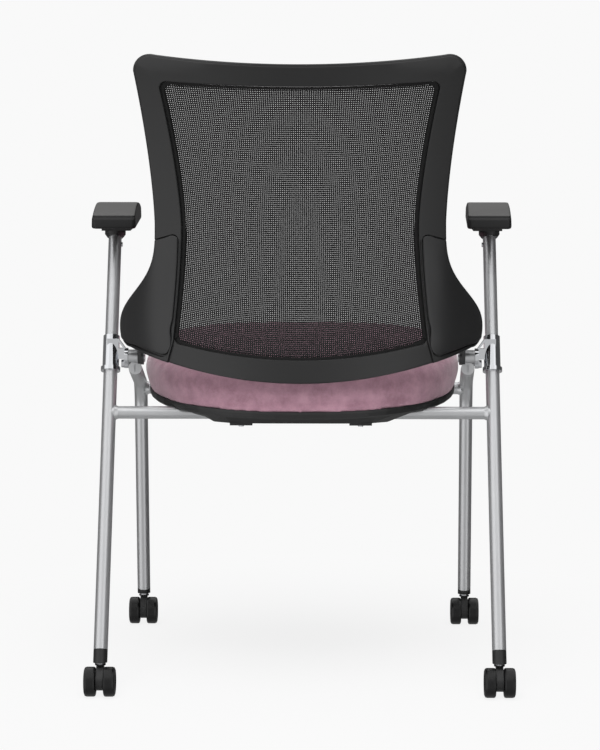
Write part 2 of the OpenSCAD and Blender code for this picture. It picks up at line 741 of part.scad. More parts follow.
// Gap between the opening's edge and the cover, and between the cover and the outer edge
function inner_gap(k) = cover_g + fan_g * min(1, foot_step(k) / ear_steps);
function corner_cut(c) = cover_corner_r * (1 - sqrt(1 - pow(1 - c, 2)));
function low_gap(k) = let (j = foot_step(k)) k > last_cover || k < first_cover ? cover_low_g
    : j < len(ear_low_shares) ? cover_low_g * ear_low_shares[j]
    : cover_low_g + corner_cut(corner_shares[j - len(ear_low_shares)]);
soft_share = 0.3;         // rounding of the frame's outer edges, as a share of its thickness
inner_soft_share = 0.12;  // the same for its inner edges

module back_frame() {
    outer = whole(outer_half());
    inner = whole(inner_half(0));
    n = len(outer);
    rings = [for (i = [0 : n - 1])
        let (p = inner[i], q = outer[i], t = back_t, k = folded(i), ri = inner_soft_share * back_t,
            base = k > last_cover + 2 ? low_deep : 0,
            covered = k >= first_cover && k <= last_cover,
            step = base + (covered ? cover_t + seat_fit : 0), relief = covered ? cover_relief : 0,
            g = inner_gap(k), low = max(low_gap(k) - seam_gap, 2 * seat_fit), rim = low - seat_fit,
            face = lerp(step, base, clamp01((rim - seat_fit) / (low_rim_w - seam_gap))),
            r = min(soft_share * t, 0.9 * rim))
        [cut_point(p, q, 0, 0, base + ri), cut_point(p, q, 0, ri, base), cut_point(p, q, 0, g - 2 * seam_gap, base),
            cut_point(p, q, 0, g - seam_gap, step), cut_point(p, q, 0.5, (g - low) / 2, step + relief),
            cut_point(p, q, 1, -low, step), cut_point(p, q, 1, -rim, face),
            cut_point(p, q, 1, -r, face), cut_point(p, q, 1, 0, face + r),
            cut_point(p, q, 1, 0, t - ri), cut_point(p, q, 1, -ri, t),
            cut_point(p, q, 0.5, 0, t), cut_point(p, q, 0, ri, t), cut_point(p, q, 0, 0, t - ri)]];
    color(black) {
        loop_solid(rings);
        both_sides() for (z = [flange_low_z + stand_in_z, flange_high_z - stand_in_z])
            at(stand_x, flange_d, z) rotate([-90, 0, 0]) difference() {
                cylinder(r = stand_r, h = stand_len);
                translate([0, 0, -over]) cylinder(r = screw_r, h = stand_grip + over);
            }
    }
}

// Closed ring of sections, such as a frame round an opening; its second half mirrors its first
module loop_solid(rings) {
    n = len(rings);
    m = len(rings[0]);
    polyhedron(points = [for (r = rings) each r],
        faces = [for (i = [0 : n - 1], j = [0 : m - 1])
            let (k = (j + 1) % m, e = (i + 1) % n, a = i * m + j, b = i * m + k, c = e * m + k, d = e * m + j)
            each (i < n / 2 ? [[a, d, b], [b, d, c]] : [[a, c, b], [a, d, c]])], convexity = 8);
}

module mesh_carrier() {
    outer = whole(inner_half(seat_fit));
    inner = whole(inner_half(lip_w));
    color(black) loop_solid([for (i = [0 : len(outer) - 1])
        let (p = inner[i], q = outer[i], h = carrier_deep, t = carrier_t)
        [cut_point(p, q, 0, 0, h + t / 3), cut_point(p, q, 0.2, 0, h), cut_point(p, q, 1, 0, h),
            cut_point(p, q, 1, 0, h + t), cut_point(p, q, 0, 0, h + t)]]);
}

// Sheet of mesh stretched over the front of the carrier
module back_mesh() {
    edge = whole(inner_half(lip_w - mesh_grip));
    mid_z = (back_top_z + back_low_z) / 2;
    h = carrier_deep + carrier_t + mesh_fit;
    loops = [for (s = mesh_rings_share) [for (i = [0 : 2 : len(edge) - 1])
        [edge[i][0] * s, lerp(mid_z, edge[i][1], s)]]];
    front = [for (l = loops) [for (p = l) back_point(p[0], p[1], h + mesh_t)]];
    rear = [for (k = [len(loops) - 1 : -1 : 0]) [for (p = loops[k]) back_point(p[0], p[1], h)]];
    color(soft_black, 0.8) ringed(concat(front, rear));
}

// Left side cover, a shell let into the rear of the frame's ear
module side_cover() {
    outer = outer_half();
    inner = inner_half(0);
    t = cover_t;
    rings = [for (i = [first_cover : last_cover])
        let (p = inner[i], q = outer[i], g = inner_gap(i), low = low_gap(i), mid = (g - low) / 2)
        [cut_point(p, q, 0, g, t / 3), cut_point(p, q, 0, g + t / 3, 0), cut_point(p, q, 0.5, mid, 0),
            cut_point(p, q, 1, -low - t, 0), cut_point(p, q, 1, -low - t / 4, t / 4),
            cut_point(p, q, 1, -low, t * 0.9), cut_point(p, q, 1, -low - t / 4, t), cut_point(p, q, 1, -low - t, t),
            cut_point(p, q, 0.5, mid, t), cut_point(p, q, 0, g, t)]];
    color(soft_black) strip_solid(rings);
}

// Solid through sections whose two skins face each other, closed at both ends
module strip_solid(rings) {
    n = len(rings);
    m = len(rings[0]);
    half = m / 2;
    sides = [for (i = [0 : n - 2], j = [0 : m - 1])
        let (a = i * m + j, b = i * m + (j + 1) % m, c = b + m, d = a + m) each [[a, c, b], [a, d, c]]];
    ends = [for (k = [0 : half - 2]) let (a = k, b = k + 1, c = m - 2 - k, d = m - 1 - k, e = (n - 1) * m)
        each [[a, b, c], [a, c, d], [e + a, e + c, e + b], [e + a, e + d, e + c]]];
    polyhedron(points = [for (r = rings) each r], faces = concat(sides, ends), convexity = 8);
}

// Left steel bracket between the frame's ear and the pivot
module back_bracket() {
    color(black) difference() {
        union() {
            at(0, pivot_d, pivot_z) bar_x(boss_r, boss_in, boss_out);
            translate([plate_in, 0, 0]) rotate([90, 0, 90]) linear_extrude(boss_out - plate_in) polygon([
                [centre_d - pivot_d - boss_r * cos(20), pivot_z + boss_r * sin(20)],
                [centre_d - pivot_d + boss_r * cos(20), pivot_z - boss_r * sin(20)],
                [centre_d - flange_d, flange_low_z], [centre_d - flange_d, flange_high_z],
                [centre_d - flange_d - flange_t, flange_high_z]]);
            at(plate_in, flange_d + flange_t, flange_low_z)
                cube([flange_out - plate_in, flange_t, flange_high_z - flange_low_z]);
        }
        at(0, pivot_d, pivot_z) bar_x(bush_r, boss_in - over, boss_out + over);
        for (z = [flange_low_z + stand_in_z, flange_high_z - stand_in_z])
            at(stand_x, flange_d + flange_t + over, z) rotate([-90, 0, 0])
                cylinder(r = screw_r, h = flange_t + 2 * over);
    }
}

// Rubber sleeves that return the back
module torsion_bushes() {
    color(black) both_sides() at(0, pivot_d, pivot_z) difference() {
        bar_x(bush_r, boss_in, boss_out);
        bar_x(pin_r + run_fit, boss_in - over, boss_out + over);
    }
}

module bracket_screws() {
    color(silver) both_sides() for (z = [flange_low_z + stand_in_z, flange_high_z - stand_in_z])
        at(stand_x, flange_d + flange_t, z) rotate([90, 0, 0]) {
            cylinder(r = screw_head_r, h = screw_head_h);
            translate([0, 0, -flange_t - stand_grip]) cylinder(r = screw_r, h = flange_t + stand_grip);
        }
}

// The seat's own frame, tipped up at the front
module on_seat() {
    at(0, hinge_d, bar_z) rotate([-seat_tilt, 0, 0]) children();
}

// Outline of the seat seen from above, drawn in by e
function seat_outline(e, back = 0) = [for (i = [0 : seat_steps - 1])
    let (c = cos(360 * i / seat_steps), s = sin(360 * i / seat_steps),
        n = 2 / (s > 0 ? seat_power_rear : seat_power_front), l = (s > 0 ? seat_rear_len - back : seat_front_len) - e)
    [(seat_half_w - e) * power(c, n), power(s, n) * l - seat_wide_d]];
function seat_ring(e, w, back = 0) = [for (p = seat_outline(e, back)) [p[0], p[1], w]];

module seat_cushion() {
    pocket = board_inset - seat_fit;
    color(pink) on_seat() ringed(concat(
        [seat_ring(pocket, cushion_low + board_t), seat_ring(pocket, cushion_low)],
        [for (p = cushion_shares)
            seat_ring(p[0] * cushion_h, cushion_low + p[1] * cushion_h, cushion_back * min(1, p[1] / cushion_foot_share))]));
}

module seat_board() {
    color("tan") on_seat() translate([0, 0, shell_top]) linear_extrude(board_t)
        polygon(seat_outline(board_inset));
}

// Squarish outline of the belly in the same directions as the seat's, n = 0 at its top and 1 at its bottom
function belly_outline(n, wall) = let (
        d = n * belly_slopes + [wall, wall, wall],
        a = seat_half_w - belly_side - d[0], rear = seat_rear_len - belly_back - d[1],
        front = bumper_v - seat_wide_d - bar_od / 2 - belly_clear - d[2])
    [for (p = seat_outline(0)) let (y = p[1] + seat_wide_d,
        k = pow(pow(abs(p[0]) / a, belly_power) + pow(abs(y) / (y > 0 ? rear : front), belly_power), -1 / belly_power))
        [p[0] * k, y * k - seat_wide_d]];
function belly_ring(n, w) = [for (p = belly_outline(n, 0)) [p[0], p[1], w]];

// Moulded shell with the channel that runs over the crossbar
module seat_shell() {
    color(black) on_seat() difference() {
        union() {
            ringed(concat([belly_ring(1, shell_low), belly_ring(0, shell_rim_low)],
                [for (p = shell_rings) seat_ring(p[0], p[1])]));
            both_sides() translate([hinge_x - hinge_cap_w / 2, -hinge_cap_len / 2, shell_low])
                cube([hinge_cap_w, hinge_cap_len, belly_h + over]);
        }
        difference() {
            translate([0, 0, cavity_low]) linear_extrude(shell_top - cavity_low + over)
                polygon(belly_outline(1, shell_wall));
            translate([-seat_half_w, -hinge_band, shell_low]) cube([2 * seat_half_w, 2 * hinge_band, 2 * shell_top]);
        }
        bar_x(channel_r, -seat_half_w - over, seat_half_w + over);
        translate([-seat_half_w - over, -channel_r, shell_low - over])
            cube([2 * (seat_half_w + over), 2 * channel_r, over - shell_low]);
        for (x = [-hinge_x, hinge_x], v = [-hinge_screw_v, hinge_screw_v])
            translate([x, v, shell_low - over]) cylinder(r = screw_r, h = hinge_screw_up + over - shell_low);
    }
}

module hinge_bushes() {
    color("ivory") on_seat() both_sides() difference() {
        bar_x(bush_od_r, hinge_x - hinge_len / 2, hinge_x + hinge_len / 2);
        bar_x(bar_od / 2 + run_fit, hinge_x - hinge_len, hinge_x + hinge_len);
    }
}

module hinge_caps() {
    color(black) on_seat() both_sides() difference() {
        translate([hinge_x - hinge_cap_w / 2, -hinge_cap_len / 2, -hinge_cap_low])
            cube([hinge_cap_w, hinge_cap_len, hinge_cap_low + shell_low]);
        bar_x(channel_r, hinge_x - hinge_cap_w, hinge_x + hinge_cap_w);
        for (v = [-hinge_screw_v, hinge_screw_v])
            translate([hinge_x, v, -hinge_cap_low - over]) cylinder(r = screw_r + seat_fit / 2, h = hinge_cap_low + over);
    }
}

module hinge_screws() {
    color(silver) on_seat() for (x = [-hinge_x, hinge_x], v = [-hinge_screw_v, hinge_screw_v])
        translate([x, v, -hinge_cap_low]) {
            cylinder(r = screw_r, h = hinge_cap_low + hinge_screw_up - seat_fit);
            translate([0, 0, -screw_head_h]) cylinder(r = screw_head_r, h = screw_head_h);
        }
}

// Rubber pads that rest on the front crossbar
module seat_bumpers() {
    low = bumper_w + bumper_grip;   // foot of the pads, on the bar's flanks
    color(black) on_seat() both_sides() difference() {
        translate([bumper_x - bumper_len / 2, -bumper_v - bumper_wide / 2, low])
            cube([bumper_len, bumper_wide, shell_rim_low - low]);
        translate([0, -bumper_v, bumper_w]) bar_x(bar_od / 2 + move_gap, 0, seat_half_w);
    }
}

// Casters, each drawn about its own stem
module caster_stem() {
    translate([0, 0, stem_low_z]) cylinder(r = stem_d / 2, h = cone_z - stem_low_z);
    translate([0, 0, cone_z]) cylinder(r = stem_cone_r, h = stem_cone_h);
    translate([0, 0, cap_low_z]) cylinder(r = stem_top_r, h = stem_top_len);
}

module caster_stems() {
    color(silver) both_sides() {
        at(rear_stem_x, rear_stem_d, 0) caster_stem();
        at(front_stem_x, front_stem_d, 0) caster_stem();
    }
}

module housing() {
    half = housing_w / 2;
    color(black) difference() {
        union() {
            translate([0, trail, wheel_r]) bar_x(housing_r, -half, half);
            translate([-half, 0, 0]) rotate([90, 0, 90]) linear_extrude(housing_w) polygon([
                [-neck_front, hood_z + over / 2], [neck_front, hood_z + over / 2],
                [trail + housing_r * cos(45), wheel_r + housing_r * sin(45)],
                [trail, wheel_r - housing_r / 2], [-neck_front, stem_low_z - over]]);
            translate([0, 0, hood_z]) cylinder(r = hood_r, h = hood_t);
        }
        translate([0, 0, stem_low_z - run_fit]) cylinder(r = stem_d / 2 + run_fit, h = hood_z);
        translate([0, trail, wheel_r]) bar_x(axle_d / 2, -housing_w, housing_w);
    }
}

module axle() {
    color(silver) translate([0, trail, wheel_r]) bar_x(axle_d / 2, -axle_half, axle_half);
}

// Wheel on the +X side of its housing, or mirrored to the other
module wheel(side) {
    bore = axle_d / 2 + run_fit;
    color(black) translate([side * (housing_w / 2 + move_gap), trail, wheel_r]) rotate([0, 90 * side, 0])
        rotate_extrude() polygon(concat(
            [[bore, 0], [hub_r, 0], [hub_r, recess_deep], [recess_r, recess_deep], [recess_r, 0]],
            [for (p = edge_shares) [p[0] * wheel_r, p[1] * wheel_w]],
            [[dish_r + dish_deep, wheel_w], [dish_r, wheel_w - dish_deep], [0, wheel_w - dish_deep],
                [0, blind], [bore, blind]]));
}

// Places of the four casters
module rear_left() at(rear_stem_x, rear_stem_d, 0) children();
module rear_right() at(-rear_stem_x, rear_stem_d, 0) children();
module front_left() at(front_stem_x, front_stem_d, 0) children();
module front_right() at(-front_stem_x, front_stem_d, 0) children();
module right() mirror([1, 0, 0]) children();

rear_leg();  // rear_leg_left
right() rear_leg();  // rear_leg_right
arm_post();  // arm_post_left
right() arm_post();  // arm_post_right
front_leg();  // front_leg_left
right() front_leg();  // front_leg_right
rear_crossbar();
front_crossbar();
collar();  // collar_left
right() collar();  // collar_right
clamp_head();  // clamp_left
right() clamp_head();  // clamp_right
clamp_bolts();
pivot_pins();
rear_leg_caps();
front_leg_caps();
arm_base();  // arm_base_left
right() arm_base();  // arm_base_right
arm_pad();  // arm_pad_left
right() arm_pad();  // arm_pad_right
arm_screws();
back_frame();
back_mesh();
mesh_carrier();
side_cover();  // side_cover_left
right() side_cover();  // side_cover_right
back_bracket();  // back_bracket_left
right() back_bracket();  // back_bracket_right
torsion_bushes();
bracket_screws();
seat_cushion();
seat_board();
seat_shell();
hinge_bushes();
hinge_caps();
hinge_screws();
seat_bumpers();
caster_stems();
rear_left() housing();  // rear_left_housing
rear_left() axle();  // rear_left_axle
rear_left() wheel(1);  // rear_left_wheel_outer
rear_left() wheel(-1);  // rear_left_wheel_inner
rear_right() housing();  // rear_right_housing
rear_right() axle();  // rear_right_axle
rear_right() wheel(-1);  // rear_right_wheel_outer
rear_right() wheel(1);  // rear_right_wheel_inner
front_left() housing();  // front_left_housing
front_left() axle();  // front_left_axle
front_left() wheel(1);  // front_left_wheel_outer
front_left() wheel(-1);  // front_left_wheel_inner
front_right() housing();  // front_right_housing
front_right() axle();  // front_right_axle
front_right() wheel(-1);  // front_right_wheel_outer
front_right() wheel(1);  // front_right_wheel_inner
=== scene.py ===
import bpy
import json
import math
import numpy as np
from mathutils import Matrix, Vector


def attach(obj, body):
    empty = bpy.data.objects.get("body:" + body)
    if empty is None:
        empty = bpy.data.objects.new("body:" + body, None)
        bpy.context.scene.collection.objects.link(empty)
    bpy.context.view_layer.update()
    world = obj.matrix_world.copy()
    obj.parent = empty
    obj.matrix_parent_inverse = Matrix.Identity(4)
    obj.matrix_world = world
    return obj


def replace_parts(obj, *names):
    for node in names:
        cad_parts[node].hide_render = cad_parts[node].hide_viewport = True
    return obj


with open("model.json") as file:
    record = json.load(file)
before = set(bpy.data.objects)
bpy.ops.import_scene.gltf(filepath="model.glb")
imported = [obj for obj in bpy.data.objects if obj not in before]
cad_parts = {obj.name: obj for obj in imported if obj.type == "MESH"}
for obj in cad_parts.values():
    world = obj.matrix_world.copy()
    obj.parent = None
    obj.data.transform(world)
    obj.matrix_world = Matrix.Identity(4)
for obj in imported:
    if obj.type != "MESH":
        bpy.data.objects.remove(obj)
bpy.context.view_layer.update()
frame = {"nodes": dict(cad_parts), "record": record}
print("frame loaded:", len(frame["nodes"]), "nodes")

# All lengths in the dictionaries are millimetres; depth runs forward from the rear feet
chair = {"centreDepth": 236.2}


def placed(x, depth, z):
    # millimetres of width, depth and height become metres in the frame's own axes
    return np.stack([x, chair["centreDepth"] - depth, z], -1) / 1000.0


def lerp(a, b, t):
    # a straight mix of a and b, b's share being t
    return a + (b - a) * t


def signedPower(v, n):
    # the n-th power of the size, with the sign kept
    return np.sign(v) * np.abs(v) ** n


# camera first

viewSpec = {"x": -54, "depth": -3826.4, "z": 949.7, "pitch": 7.046, "yaw": 0.80, "focalPixels": 2657,
            "tall": 750, "sensor": 36, "farEnd": 60}


def addCamera(v):
    # the lens in millimetres is the focal length in pixels over the tall side, times the sensor's size
    data = bpy.data.cameras.new("photoCamera")
    data.lens = v["focalPixels"] / v["tall"] * v["sensor"]
    data.clip_end = v["farEnd"]
    cam = bpy.data.objects.new("photoCamera", data)
    cam.location = placed(np.float64(v["x"]), v["depth"], v["z"])
    p, y = math.radians(v["pitch"]), math.radians(v["yaw"])
    ahead = Vector((math.sin(y) * math.cos(p), -math.cos(y) * math.cos(p), -math.sin(p)))
    cam.rotation_euler = ahead.to_track_quat("-Z", "Y").to_euler()
    bpy.context.scene.collection.objects.link(cam)
    bpy.context.scene.camera = cam


addCamera(viewSpec)
print("camera placed")


# shader maths: a wrapped socket that takes + - * / and gives new Math nodes

class Wire:
    # one output socket; each operator makes a Math node and returns its output

    def __init__(self, tree, out):
        self.tree, self.out = tree, out

    def maths(self, what, *others):
        # one Math node, its inputs linked to wires or set to plain numbers
        node = self.tree.nodes.new("ShaderNodeMath")
        node.operation = what
        for slot, value in zip(node.inputs, others):
            if isinstance(value, Wire):
                self.tree.links.new(value.out, slot)
            else:
                slot.default_value = value
        return Wire(self.tree, node.outputs[0])

    def __add__(self, o): return self.maths("ADD", self, o)
    def __radd__(self, o): return self.maths("ADD", o, self)
    def __sub__(self, o): return self.maths("SUBTRACT", self, o)
    def __rsub__(self, o): return self.maths("SUBTRACT", o, self)
    def __mul__(self, o): return self.maths("MULTIPLY", self, o)
    def __rmul__(self, o): return self.maths("MULTIPLY", o, self)
    def __truediv__(self, o): return self.maths("DIVIDE", self, o)
    def sine(self): return self.maths("SINE", self)
    def clipped(self): return self.maths("MINIMUM", self.maths("MAXIMUM", self, 0.0), 1.0)
    def most(self, o): return self.maths("MAXIMUM", self, o)


class Finish:
    # one material: its Principled shader and a short way to add any node

    def __init__(self, name, color, roughness, metallic=0.0, **fixed):
        self.mat = bpy.data.materials.new(name)
        self.mat.use_nodes = True
        self.tree = self.mat.node_tree
        self.shader = self.tree.nodes["Principled BSDF"]
        self.set(self.shader, {"Base Color": (*color, 1), "Roughness": roughness, "Metallic": metallic})
        self.set(self.shader, {k.replace("_", " "): v for k, v in fixed.items()})

    def set(self, node, values):
        # the named inputs of a node, linked to wires or set to plain values
        for key, value in values.items():
            slot = node.inputs[key]
            if isinstance(value, Wire):
                self.tree.links.new(value.out, slot)
            else:
                slot.default_value = value

    def node(self, kind, settings=None, out=0, **values):
        # any shader node: its settings, its inputs with an underscore for each space, and one output as a wire
        made = self.tree.nodes.new("ShaderNode" + kind)
        for key, value in (settings or {}).items():
            setattr(made, key, value)
        self.set(made, {k.replace("_", " "): v for k, v in values.items()})
        return Wire(self.tree, made.outputs[out])

    def place(self, scale=(1, 1, 1), uv=False):
        # the object's own coordinates, or its unwrapped map, times the scale
        source = self.node("TexCoord", out="UV" if uv else "Object")
        return self.node("Mapping", Vector=source, Scale=scale)

    def noise(self, scale, detail=3.0, rough=0.55, where=None):
        # fractal noise from 0 to 1, the scale being in cells to the metre
        return self.node("TexNoise", out="Fac", Vector=where or self.place(), Scale=scale, Detail=detail,
                         Roughness=rough)

    def blend(self, amount, a, b):
        # colour a plus the amount's share of the way to colour b
        made = self.tree.nodes.new("ShaderNodeMix")
        made.data_type = "RGBA"
        for slot, value in ((made.inputs[0], amount), (made.inputs[6], a), (made.inputs[7], b)):
            if isinstance(value, Wire):
                self.tree.links.new(value.out, slot)
            elif isinstance(value, tuple):
                slot.default_value = (*value, 1)
            else:
                slot.default_value = value
        return Wire(self.tree, made.outputs[2])

    def bump(self, height, strength, distance):
        # the shading normal tipped by the slope of the height, the distance being in metres
        made = self.node("Bump", Height=height, Strength=strength, Distance=distance)
        self.set(self.shader, {"Normal": made})

    def use(self, **links):
        # inputs of the Principled shader
        self.set(self.shader, {k.replace("_", " "): v for k, v in links.items()})


def paintedTube():
    # silver-grey powder coat: fine sparkle in the bump, faint cloudy roughness
    f = Finish("silverPaint", (0.5, 0.505, 0.515), 0.3, 0.75, Coat_Weight=0.3)
    cloud, grain = f.noise(9.0), f.noise(900.0, 2.0)
    f.use(Roughness=0.27 + 0.1 * cloud,
          Base_Color=f.blend(cloud, (0.46, 0.465, 0.475), (0.54, 0.545, 0.555)))
    f.bump(grain, 0.12, 0.0003)
    return f.mat


def chromePlate():
    # bright plating: polish marks round the tube, smudges in the roughness
    f = Finish("collarChrome", (0.62, 0.63, 0.65), 0.12, 1.0)
    marks = f.noise(60.0, 4.0, where=f.place((1, 1, 14)))
    f.use(Roughness=0.08 + 0.16 * marks * f.noise(30.0))
    f.bump(marks, 0.05, 0.0002)
    return f.mat


def zincSteel():
    # dull plating, worn in patches that change both tone and gloss
    f = Finish("zincSteel", (0.52, 0.53, 0.55), 0.3, 1.0)
    wear = f.noise(70.0, 4.0)
    f.use(Roughness=0.22 + 0.22 * wear,
          Base_Color=f.blend(wear, (0.44, 0.45, 0.48), (0.6, 0.6, 0.61)))
    f.bump(f.noise(500.0), 0.08, 0.0002)
    return f.mat


def mouldedBlack(name, dark, light, rough, grainScale=1500.0, depth=0.00012, gloss=0.42):
    # spark-eroded plastic: fine grain in the bump, slow drift of colour and gloss
    f = Finish(name, dark, rough, Specular_IOR_Level=gloss)
    drift = f.noise(7.0, 2.0)
    grain = f.noise(grainScale, 2.0)
    scuff = (f.noise(26.0, 6.0, 0.7) - 0.56).clipped() * 3.0
    f.use(Base_Color=f.blend((drift * 0.7 + scuff.clipped() * 0.3).clipped(), dark, light),
          Roughness=rough + 0.08 * drift - 0.05 * grain)
    f.bump(grain, 0.35, depth)
    return f.mat


def blackPaint():
    # brushed-on paint: patchy gloss over a fine bump
    f = Finish("blackPaint", (0.02, 0.02, 0.021), 0.4, 0.0, Coat_Weight=0.2)
    f.use(Roughness=0.35 + 0.15 * f.noise(40.0))
    f.bump(f.noise(300.0), 0.15, 0.0003)
    return f.mat


def padSkin():
    # self-skinned foam: leathery cells and fine grain in the bump, with painted light: paler on faces that
    # turn up, painted shade on the sides
    f = Finish("padSkin", (0.03, 0.03, 0.0305), 0.45, 0.0, Specular_IOR_Level=0.3)
    cells = f.node("TexVoronoi", {"feature": "F1"}, out="Distance", Vector=f.place(), Scale=620.0)
    fine = f.noise(1400.0, 2.0)
    drift = f.noise(14.0, 3.0)
    split = f.tree.nodes.new("ShaderNodeSeparateXYZ")
    f.tree.links.new(f.node("TexCoord", out="Normal").out, split.inputs[0])
    # painted light: the mask grows as the face turns up, so the top takes the paler painted lit tone and the
    # sides a painted shade of near black
    top = (Wire(f.tree, split.outputs[2]) * 4.0 - 3.0).clipped()
    paintedLitTop = f.blend(drift, (0.044, 0.0435, 0.043), (0.062, 0.061, 0.06))
    f.use(Base_Color=f.blend(top, (0.008, 0.008, 0.0082), paintedLitTop), Roughness=0.42 + 0.12 * drift)
    f.bump(cells * 0.7 + fine * 0.3, 0.3, 0.0003)
    return f.mat


def knitThread(name, shade):
    # twisted yarn: fine stripes along it from a noise, and yarn-to-yarn drift of tone
    f = Finish(name, (shade, shade, shade), 0.62, 0.0, Specular_IOR_Level=0.2)
    drift, fuzz = f.noise(40.0, 3.0), f.noise(2500.0, 2.0)
    tone = lambda k: (shade * k, shade * k, shade * k * 1.03)
    f.use(Base_Color=f.blend((drift * 0.6 + fuzz * 0.4).clipped(), tone(0.7), tone(1.35)),
          Roughness=0.55 + 0.2 * fuzz)
    f.bump(fuzz, 0.4, 0.0002)
    return f.mat


weaveSpec = {"pitch": 1.5, "dark": (0.31, 0.155, 0.205), "light": (0.53, 0.295, 0.375),
             "rubbed": (0.55, 0.36, 0.42)}


def mauveWeave(w):
    # plain weave: warp and weft as two sine ridges at right angles that pass over each other by turns,
    # read from the cushion's own unwrapped map, whose unit is one metre
    f = Finish("mauveWeave", w["light"], 0.8, 0.0, Sheen_Weight=0.55, Sheen_Roughness=0.45)
    along = f.place(uv=True)
    split = f.tree.nodes.new("ShaderNodeSeparateXYZ")
    f.tree.links.new(along.out, split.inputs[0])
    turns = 2 * math.pi / (w["pitch"] / 1000)
    a = (Wire(f.tree, split.outputs[0]) * turns).sine()
    b = (Wire(f.tree, split.outputs[1]) * turns).sine()
    over = ((a * b) * 3.0 + 0.5).clipped()
    ridge = (a * a) * over + (b * b) * (1.0 - over)
    slub = f.noise(420.0, 4.0, 0.7)
    cloud = (f.noise(34.0, 6.0, 0.7) - 0.5) * 2.6
    spots = (f.noise(110.0, 5.0, 0.75) - 0.54).clipped() * 5.0
    tone = (ridge * 0.3 + slub * 0.3 + 0.25 + cloud).clipped()
    base = f.blend(tone, w["dark"], w["light"])
    f.use(Base_Color=f.blend(spots.clipped() * 0.35, base, w["rubbed"]), Roughness=0.74 + 0.18 * slub)
    f.bump(ridge * 0.7 + slub * 0.3, 0.35, 0.0005)
    return f.mat


def plyBoard():
    # stained plywood: bands up its edge, one for each ply
    f = Finish("plyBoard", (0.045, 0.036, 0.03), 0.6)
    bands = {"wave_type": "BANDS", "bands_direction": "Z"}
    plies = f.node("TexWave", bands, Vector=f.place(), Scale=90.0, Distortion=1.5)
    f.use(Base_Color=f.blend(plies, (0.03, 0.024, 0.02), (0.06, 0.048, 0.04)))
    f.bump(f.noise(300.0), 0.2, 0.0004)
    return f.mat


def nylonWhite():
    # natural nylon with a slow drift of gloss
    f = Finish("nylonWhite", (0.72, 0.71, 0.66), 0.4)
    f.use(Roughness=0.35 + 0.15 * f.noise(80.0))
    return f.mat


finishes = {
    "silver": paintedTube(), "chrome": chromePlate(), "zinc": zincSteel(), "blackPaint": blackPaint(),
    "frameBlack": mouldedBlack("frameBlack", (0.009, 0.009, 0.0092), (0.014, 0.014, 0.0143), 0.34),
    "coverBlack": mouldedBlack("coverBlack", (0.014, 0.014, 0.0144), (0.022, 0.022, 0.0225), 0.33),
    "shellBlack": mouldedBlack("shellBlack", (0.009, 0.009, 0.0092), (0.014, 0.014, 0.0143), 0.42),
    "rubber": mouldedBlack("bushRubber", (0.009, 0.009, 0.009), (0.014, 0.014, 0.014), 0.7, 700.0),
    # painted shade: the mesh carrier's finish is near black, darker than the other black plastics, for the
    # dark band round the mesh
    "carrierPaintedShade": mouldedBlack("carrierPaintedShadeBlack", (0.002, 0.002, 0.002), (0.004, 0.004, 0.004), 0.8, 700.0),
    "wheel": mouldedBlack("wheelBlack", (0.003, 0.003, 0.0031), (0.006, 0.006, 0.0062), 0.3, 900.0,
                          gloss=0.3),
    "pad": padSkin(), "warp": knitThread("meshWarp", 0.019), "weft": knitThread("meshWeft", 0.014),
    "mauve": mauveWeave(weaveSpec), "board": plyBoard(), "nylon": nylonWhite(),
}
slotFinish = {
    "silver_paint": "silver", "chrome": "chrome", "steel": "zinc", "black_steel": "blackPaint",
    "black_plastic": "shellBlack", "cover_plastic": "coverBlack", "pad": "pad", "mesh": "warp",
    "upholstery": "mauve", "board": "board", "nylon": "nylon", "rubber": "rubber", "wheel": "wheel",
}


def dressNodes():
    # every CAD node takes the finish of its own material slot
    for part in frame["record"]["subparts"]:
        obj = frame["nodes"][part["node"]]
        finish = finishes[slotFinish[part["material_slot"]]]
        if not obj.material_slots:
            obj.data.materials.append(finish)
        for slot in obj.material_slots:
            slot.material = finish


dressNodes()
print("nodes dressed")


# mesh building from whole arrays

def newPiece(name, points, faces, finish, body):
    # points as an n by 3 array in metres, faces as a list of index lists of equal or mixed size
    mesh = bpy.data.meshes.new(name)
    mesh.from_pydata(points.tolist(), [], faces)
    mesh.update()
    mesh.validate()
    mesh.polygons.foreach_set("use_smooth", np.ones(len(mesh.polygons), bool))
    obj = bpy.data.objects.new(name, mesh)
    bpy.context.scene.collection.objects.link(obj)
    mesh.materials.append(finish)
    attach(obj, body)
    return obj


def gridFaces(rows, cols, closeRows=False, closeCols=False, start=0, flip=False):
    # quads between neighbours of a rows by cols grid of points, optionally joined end to end
    r = np.arange(rows if closeRows else rows - 1)
    c = np.arange(cols if closeCols else cols - 1)
    i, j = np.meshgrid(r, c, indexing="ij")
    k, l = (i + 1) % rows, (j + 1) % cols
    quads = np.stack([i * cols + j, i * cols + l, k * cols + l, k * cols + j], -1).reshape(-1, 4) + start
    return quads[:, ::-1] if flip else quads


def softenEdges(obj, angle):
    # faces that meet at more than the angle keep a sharp edge
    obj.data.set_sharp_from_angle(angle=math.radians(angle))


# the back: its rear face is a surface over width and height

